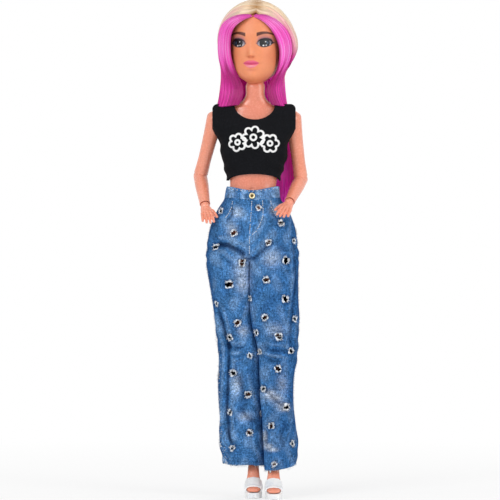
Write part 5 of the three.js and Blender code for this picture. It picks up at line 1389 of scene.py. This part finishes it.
        # Loose white threads across the holes and round their rims
        fray = bmesh.new()
        for centre, normal, size in holes:
            if (centre.z > THIGH_END) != keep_high:
                continue
            along = Vector((0, 0, 1)).cross(normal).normalized()
            up = normal.cross(along)
            if rng.uniform() >= 0.6:
                rise = rng.uniform(-0.7, 0.7) * size
                span = math.sqrt(max(size * size * 1.3 - rise * rise, 0.05))
                start = centre + up * rise - along * span
                end = centre + up * (rise + rng.uniform(-0.3, 0.3)) + along * span
                thread(fray, start, end, 0.16, rng.uniform(-0.2, 0.35), normal, rng.uniform(-1, 1))
            for k in range(RIM_TUFTS):
                angle = math.pi / 4 + math.pi / 2 * (k % 4) + rng.normal(0, 0.38)
                out_way = along * math.cos(angle) + up * math.sin(angle)
                start = centre + out_way * size * 0.9 + normal * 0.02
                thread(fray, start, start + out_way * rng.uniform(0.5, 1.7) + normal * rng.uniform(0.1, 0.5),
                       0.2, 0.12, normal, rng.uniform(-1, 1))
        if keep_high:
            for line in STITCHES:
                stitched(fray, tree, line)
        low, high = SEAM_SPAN[name]
        for k in range(int((high - low) / SEAM_PITCH)):
            height = low + SEAM_PITCH * (k + rng.uniform())
            start = Vector((sign * 60, rng.uniform(-3.0, 2.0), height))
            place, normal, face, reach = tree.ray_cast(start, Vector((-sign, 0, 0)))
            if place is not None and abs(place.x) > 12:
                out, fore, up = rng.uniform(0.2, 0.75), rng.uniform(-0.5, 0.1), rng.uniform(-0.5, 0.5)
                tip = place + Vector((sign * out, fore, up))
                root = place - Vector((sign * 0.1, 0, 0))
                thread(fray, root, tip, 0.22, 0.1, Vector((0, -1, 0)), rng.uniform(-1, 1))
        if not keep_high:
            right, split, left, deep = legs_at(20)
            middle_x = (split + (left if sign > 0 else right)) / 2
            for k in range(HEM_THREADS):
                turn = rng.uniform(0, 2 * math.pi)
                way = Vector((math.cos(turn), math.sin(turn), 0))
                edge = float(hem_line(np.array(middle_x + 11 * way.x), np.array(6 * way.y), sign))
                start = Vector((float(middle_x), ANKLE_Y[side], edge + 0.5)) + way * 40
                place, normal, face, reach = tree.ray_cast(start, -way)
                if place is not None:
                    tip = place + way * rng.uniform(0.0, 0.3) - Vector((0, 0, rng.uniform(0.7, 1.6)))
                    thread(fray, place - way * 0.1, tip, 0.2, 0.1, way, rng.uniform(-1, 1))
        threads = drawn(f"jeans_fray_{name}_{side}", fray, cotton.material)
        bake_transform(threads, *bend)
    bm.free()

# Waistband: a folded strip round the waist, with a metal shank button
BAND_FROM, BAND_TALL = SEAT_TOP + 0.15, 6.8
BAND_PATCHES = ((231, 2.6), (277, 4.2), (243, 1.2), (258, 1.6))


def waistband(u, v):
    angle = 2 * np.pi * u
    turn = 2 * np.pi * v
    flat, tall = 0.62 + 0.1 * np.cos(9 * angle), BAND_TALL / 2 - 0.15
    inward = flat * np.sign(np.cos(turn)) * np.abs(np.cos(turn)) ** 0.6
    z = BAND_FROM + BAND_TALL / 2 + tall * np.sign(np.sin(turn)) * np.abs(np.sin(turn)) ** 0.45
    wide, front, back, shift = trunk_at(z)
    grown = 1.25 + inward
    x, y = oval(angle, wide + grown, front + grown + 0.6, back + grown + 0.6, 2.3)
    rise = 0.9 * (x / wide) ** 2 * np.clip((z - BAND_FROM) / BAND_TALL, 0, 1)
    return x + shift, y, z + rise + 0.15 * np.cos(3 * angle + 1) - waist_dip(x, y)


band = formed("jeans_waistband_cloth", 260, 48, waistband, denim.material)
points = figure_points(band)
normals = np.zeros_like(points)
normals[:, 1] = np.where(points[:, 1] < 0, -1, 1)
# Painted shade: the back of the band is darker, as the sides of the legs are.
colour = faded(points, normals, np.zeros(len(points)))
for across, wide in BAND_PATCHES:
    at = seen_at(across, 194, -11)
    patch = np.exp(-((points[:, 0] - at[0]) / wide) ** 2) * (points[:, 1] < 0)
    colour = blended(colour, DENIM_PALE, 0.8 * patch)
colour = blended(colour, DENIM_DARK, 0.25 + 0.2 * np.cos(0.9 * points[:, 0] + 1.1 * points[:, 2]))
up_the_band = points[:, 2] - BAND_FROM
off_edge = np.minimum(np.abs(up_the_band), np.abs(up_the_band - BAND_TALL))
colour = blended(colour, DENIM_PALE, 0.35 * smooth(0.9, 0.1, off_edge))
painted(band, "wash_and_shade", colour)
turn = np.arctan2(points[:, 0], -points[:, 1])
painted(band, "cloth_place", np.stack([turn * 1.3, points[:, 2] / 10, 0 * turn], axis=1))
band_tree = BVHTree.FromPolygons(points.tolist(), [list(p.vertices) for p in band.data.polygons])
bm = bmesh.new()
for edge in (189.572, 199.568):
    line = [(across, edge - 0.0018 * (across - 252) ** 2 + 1.6 * math.exp(-((across - 250) / 15) ** 2))
            for across in np.linspace(228.5, 276.5, 13)]
    stitched(bm, band_tree, line)
band_stitches = drawn("jeans_waistband_stitches", bm, cotton.material)
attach(band_stitches, "torso")
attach(band, "torso")
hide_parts("jeans_waistband")

brass = Finish("worn_brass", 0.32, Metallic=1.0)
brass.colour(brass.mix("MULTIPLY", 1.0, brass.attribute("ring"),
                       brass.grey(brass.noise(1200), (0.3, 0.75), (0.7, 1.0))))
brass.roughness(brass.grey(brass.noise(1800), (0.3, 0.24), (0.7, 0.45)))
brass.bump(brass.noise(2600), 0.25, 0.05)
BUTTON_PROFILE = [(0.0, 0.62), (0.35, 0.58), (0.7, 0.4), (1.05, 0.3), (1.25, 0.6), (1.5, 0.76), (1.75, 0.6),
                  (1.85, 0.25), (1.8, 0.0)]
BUTTON_DROP = 1.2
button_low, button_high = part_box("jeans_button")
button_back = button_high.y
button_x = (button_low.x + button_high.x) / 2
button_z = (button_low.z + button_high.z) / 2 - BUTTON_DROP * MM
bm = bmesh.new()
rail = [bm.verts.new((r, -h, 0)) for r, h in BUTTON_PROFILE]
edges = [bm.edges.new(pair) for pair in zip(rail, rail[1:])]
bmesh.ops.spin(bm, geom=rail + edges, cent=(0, 0, 0), axis=(0, 1, 0), angle=2 * math.pi,
               steps=40, use_merge=True)
bmesh.ops.remove_doubles(bm, verts=bm.verts, dist=1e-4)
bmesh.ops.holes_fill(bm, edges=[e for e in bm.edges if e.is_boundary], sides=0)
bmesh.ops.recalc_face_normals(bm, faces=bm.faces)
bmesh.ops.transform(bm, verts=bm.verts,
                    matrix=Matrix.Translation((button_x, button_back, button_z)) @ Matrix.Scale(MM, 4))
button = piece("jeans_button_brass", bm, brass.material)
off_axis = np.array([(v.co.x - button_x, v.co.z - button_z) for v in button.data.vertices]) / MM
reach = np.hypot(*off_axis.T)
painted(button, "ring", blended(shade(84, 68, 36), shade(250, 232, 184), smooth(0.75, 1.2, reach)))
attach(button, "torso")
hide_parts("jeans_button")

# Crop top
# A sleeveless cropped top of black cotton jersey with cut-off armholes, three
# daisies printed in thick white ink across the chest.
jersey = Finish("black_cotton_jersey", 0.88, Specular_IOR_Level=0.12)
jersey_place = jersey.attribute("cloth_place")
ribs = jersey.node("ShaderNodeTexWave", wave_type="BANDS", bands_direction="X")
ribs.inputs["Scale"].default_value = 5.2
ribs.inputs["Distortion"].default_value = 0.8
jersey.link(jersey_place, ribs.inputs["Vector"])
lint = jersey.noise(1600, 3, 0.7)
jersey.colour(jersey.mix("MIX", jersey.grey(lint, (0.45, 0.0), (0.85, 0.7)),
                         jersey.mix("MIX", jersey.noise(140), linear(9, 10, 13), linear(15, 16, 20)),
                         linear(40, 41, 46)))
jersey.roughness(jersey.grey(lint, (0.3, 0.8), (0.7, 0.95)))
jersey.bump(jersey.mix("MIX", 0.4, ribs.outputs["Fac"], lint), 0.5, 0.09)

TOP_HEM, TOP_HIGH = 191.0, 237.0
SHOULDER_EDGE, ARMHOLE_FROM, ARMHOLE_LOW = 25.1, 18.2, 211.0
CORNER = 3.2
top_at = through([
    (189, 15.4, 10.4, 10, 2.3), (198, 17.8, 11.8, 10.4, 2.3), (208, 20.4, 13.1, 10.7, 2.4),
    (213, 20.3, 14.8, 10.8, 2.5), (220, 24.2, 13.5, 10.7, 2.8), (228, 27.7, 10, 10, 3.6),
    (233, 27.7, 8.2, 8.8, 3.6), (237, 26.2, 6.8, 7.4, 3),
])


def top_surface(inset):
    def place(u, z):
        wide, front, back, power = top_at(z)
        angle = 2 * np.pi * u
        cos, sin = np.cos(angle), np.sin(angle)
        deep = np.where(sin > 0, back, front) - inset
        x = (wide - inset) * np.sign(cos) * np.abs(cos) ** (2 / power)
        y = deep * np.sign(sin) * np.abs(sin) ** (2 / power)
        pull = 0.3 * np.exp(-((z - 205) / 7) ** 2) * np.cos(0.55 * x + 0.5 * z)
        slack = 0.3 * smooth(212, 194, z) * np.cos(7 * angle + 0.15 * z)
        side = np.abs(x)
        side_fold = 0.45 * np.exp(-((side - 16) / 3) ** 2) * np.cos(0.75 * z + 0.5 * side)
        side_fold = side_fold * smooth(232, 222, z)
        swell = 1 + (pull + slack + side_fold) / np.maximum(np.hypot(x, y), 4)
        return x * swell, y * swell
    return place


def closed_form(name, shape, *settings):
    bm = bmesh.new()
    shape(bm, *settings)
    bmesh.ops.recalc_face_normals(bm, faces=bm.faces)
    return piece(name, bm, jersey.material)


def round_bar(bm, place, size, turn=Matrix.Identity(4), segments=64):
    bmesh.ops.create_cone(bm, cap_ends=True, segments=segments, radius1=1, radius2=1, depth=1,
                          matrix=Matrix.Translation(place) @ turn @ Matrix.Diagonal((*size, 1)))


def block(bm, place, size, turn=Matrix.Identity(4)):
    bmesh.ops.create_cube(bm, size=1, matrix=Matrix.Translation(place) @ turn @ Matrix.Diagonal((*size, 1)))


lay = turned(90, "X")
cutters = [closed_form("top_room", tube, top_surface(0.5), TOP_HEM - 1, TOP_HIGH - 0.55, 180, 90)]
cutters.append(closed_form("neck_scoop", round_bar, (0.4, -15, TOP_HIGH), (12.3, 9.5, 30), lay))
cutters.append(closed_form("nape_scoop", round_bar, (0.4, 15, TOP_HIGH), (12.3, 4.0, 30), lay))
cutters.append(closed_form("hem_rise", round_bar, (0, 0, TOP_HEM), (15, 3.6, 80), lay))
for side, sign in SIDES.items():
    at_arm = shoulder_at(side)
    cutters.append(closed_form(f"arm_room_{side}", round_bar, (0, 0, 0), (5.1, 5.1, 34),
                               at_arm @ Matrix.Translation((0, 0, -17))))
    bm = bmesh.new()
    bmesh.ops.create_uvsphere(bm, u_segments=48, v_segments=24, radius=5.95,
                              matrix=Matrix.Translation(at_arm.translation))
    cutters.append(piece(f"shoulder_room_{side}", bm, jersey.material))
    cutters.append(closed_form(f"side_cut_{side}", block, (sign * (SHOULDER_EDGE + 18), 0, 240),
                               (36, 120, 40)))
    for angle in (22.5, 45, 67.5):
        turn = turned(sign * angle, "Y")
        middle = Vector((sign * (SHOULDER_EDGE - CORNER), 0, TOP_HIGH - CORNER))
        cutters.append(closed_form(f"corner_cut_{side}_{angle}", block,
                                   middle + turn @ Vector((0, 0, CORNER + 5)), (8, 60, 10), turn))
top = closed_form("crop_top_form", tube, top_surface(0.0), TOP_HEM, TOP_HIGH, 180, 90)
for cutter in cutters:
    cut = top.modifiers.new(cutter.name, "BOOLEAN")
    cut.operation = "DIFFERENCE"
    cut.solver = "MANIFOLD"
    cut.object = cutter
applied(top)
for cutter in cutters:
    bpy.data.objects.remove(cutter)
cloth = bmesh.new()
cloth.from_mesh(top.data)
bpy.data.objects.remove(top)
top_tree = BVHTree.FromBMesh(cloth)
for sign in SIDES.values():
    sliced(cloth, (sign * ARMHOLE_FROM, 0, 0), (1, 0, 0))
sliced(cloth, (0, 0, ARMHOLE_LOW), (0, 0, 1))


def top_part(name, keep):
    part = cloth.copy()
    without(part, lambda f: not keep(f.calc_center_median()))
    for half in SIDES.values():
        rim = [e for e in part.edges if e.is_boundary and e.verts[0].co.x * half > 0]
        if rim:
            bmesh.ops.bridge_loops(part, edges=rim)
    co = np.array([v.co for v in part.verts])
    bmesh.ops.transform(part, matrix=FIGURE, verts=part.verts)
    thing = piece(name, part, jersey.material)
    painted(thing, "cloth_place", np.stack([co[:, 0] / 10, co[:, 2] / 10, co[:, 1] * 0], axis=1))
    return thing


def in_armhole(point, sign):
    return point.x * sign > ARMHOLE_FROM and point.z > ARMHOLE_LOW


front_of_top = top_part("crop_top_cloth", lambda p: not (in_armhole(p, 1) or in_armhole(p, -1)))
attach(front_of_top, "torso")
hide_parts("crop_top")
for side, sign in SIDES.items():
    edge = top_part(f"armhole_cloth_{side}", lambda p: in_armhole(p, sign))
    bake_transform(edge, "torso", f"shoulder_{side}", in_scene(sign * ARMHOLE_FROM, 0, 228),
             in_scene(sign * 24.5, 0, 228))
    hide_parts(f"armhole_{side}")
cloth.free()

# Daisies, drawn as thick strokes of white ink on the front
ink = Finish("white_screen_ink", 0.5, Specular_IOR_Level=0.4)
ink.colour(ink.mix("MIX", ink.noise(1300), linear(226, 226, 226), linear(248, 248, 248)))
ink.bump(ink.noise(2200, 2), 0.3, 0.04)
INK_WIDE, INK_TALL, INK_ROUND = 0.66, 0.2, 8
DAISIES = ((-9.9, 213.6, 5.2, 6, 0.2), (-0.4, 216.6, 6.6, 7, 0.0), (9.6, 213.0, 5.4, 6, 0.5))


def stroke(bm, line):
    """A closed round-backed stroke of ink along points on the front of the top."""
    rows = []
    count = len(line)
    for k, (x, z) in enumerate(line):
        place, normal, face, reach = top_tree.ray_cast(Vector((x, -60, z)), Vector((0, 1, 0)))
        ahead, behind = line[(k + 1) % count], line[k - 1]
        way = Vector((ahead[0] - behind[0], 0, ahead[1] - behind[1])).normalized()
        over = way.cross(normal).normalized()
        row = []
        for turn in np.linspace(0, 2 * np.pi, INK_ROUND, endpoint=False):
            rise = 0.02 + INK_TALL * math.sin(turn)
            row.append(bm.verts.new(place + over * INK_WIDE * math.cos(turn) + normal * rise))
        rows.append(row)
    for k in range(count):
        low, high = rows[k], rows[(k + 1) % count]
        for j in range(INK_ROUND):
            beside = (j + 1) % INK_ROUND
            bm.faces.new((low[j], low[beside], high[beside], high[j]))


print_mesh = bmesh.new()
for flower_x, flower_z, size, petals, tilt in DAISIES:
    outline = []
    for angle in np.linspace(0, 2 * np.pi, 16 * petals, endpoint=False):
        reach = size * (0.62 + 0.38 * abs(math.sin(petals * (angle + tilt) / 2)) ** 0.55)
        outline.append((flower_x + reach * math.cos(angle), flower_z + reach * math.sin(angle)))
    stroke(print_mesh, outline)
    centre = [(flower_x + 0.26 * size * math.cos(a), flower_z + 0.26 * size * math.sin(a))
              for a in np.linspace(0, 2 * np.pi, 24, endpoint=False)]
    stroke(print_mesh, centre)
daisies = drawn("crop_top_daisies", print_mesh, ink.material)
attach(daisies, "torso")

# Sandals
# Platform sandals moulded in one piece of soft glossy white plastic, open at
# the toes, with a wide band over the foot and a block heel.
shoe = Finish("soft_white_plastic", 0.3, ((1.0, 0.9, 0.8), 1.0), Subsurface_Weight=0.1,
              Specular_IOR_Level=0.5, Coat_Weight=0.2)
shoe.colour(shoe.mix("MIX", shoe.grey(shoe.noise(260, 4), (0.45, 0.0), (0.75, 1.0)),
                     linear(250, 250, 250), linear(232, 235, 240)))
shoe.roughness(shoe.grey(shoe.noise(1100, 2), (0.3, 0.24), (0.7, 0.42)))
shoe.bump(shoe.noise(2200, 2), 0.15, 0.04)
for side in SIDES:
    sandal = softened(f"sandal_moulded_{side}", f"sandal_{side}", shoe.material, 0.22, 4)
    toes_lowered(sandal, side)
    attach(sandal, f"lower_leg_{side}")
    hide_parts(f"sandal_{side}")

# Floor
floor_finish = Finish("pale_floor", 0.8)
floor_finish.colour(floor_finish.mix("MIX", floor_finish.noise(6), (0.93, 0.93, 0.93), (0.95, 0.95, 0.95)))
tree = floor_finish.material.node_tree
away = floor_finish.node("ShaderNodeVectorMath", operation="LENGTH")
floor_finish.link(floor_finish.node("ShaderNodeTexCoord").outputs["Object"], away.inputs[0])
faded_out = floor_finish.node("ShaderNodeMapRange")
for socket, value in (("From Min", 0.08), ("From Max", 0.6), ("To Min", 0.62), ("To Max", 1.0)):
    faded_out.inputs[socket].default_value = value
floor_finish.link(away.outputs["Value"], faded_out.inputs["Value"])
share = floor_finish.node("ShaderNodeMath", operation="MULTIPLY")
floor_finish.link(faded_out.outputs["Result"], share.inputs[0])
floor_finish.link(seen_directly(tree), share.inputs[1])
glow = floor_finish.node("ShaderNodeEmission")
glow.inputs["Color"].default_value = (1, 1, 1, 1)
glow.inputs["Strength"].default_value = 1.0
mixed = floor_finish.node("ShaderNodeMixShader")
floor_finish.link(share.outputs[0], mixed.inputs["Fac"])
floor_finish.link(floor_finish.shader.outputs[0], mixed.inputs[1])
floor_finish.link(glow.outputs[0], mixed.inputs[2])
floor_finish.link(mixed.outputs[0], tree.nodes["Material Output"].inputs["Surface"])
bm = bmesh.new()
bmesh.ops.create_grid(bm, x_segments=1, y_segments=1, size=4)
floor = piece("floor", bm, floor_finish.material)
bpy.context.scene.view_settings.view_transform = "Standard"
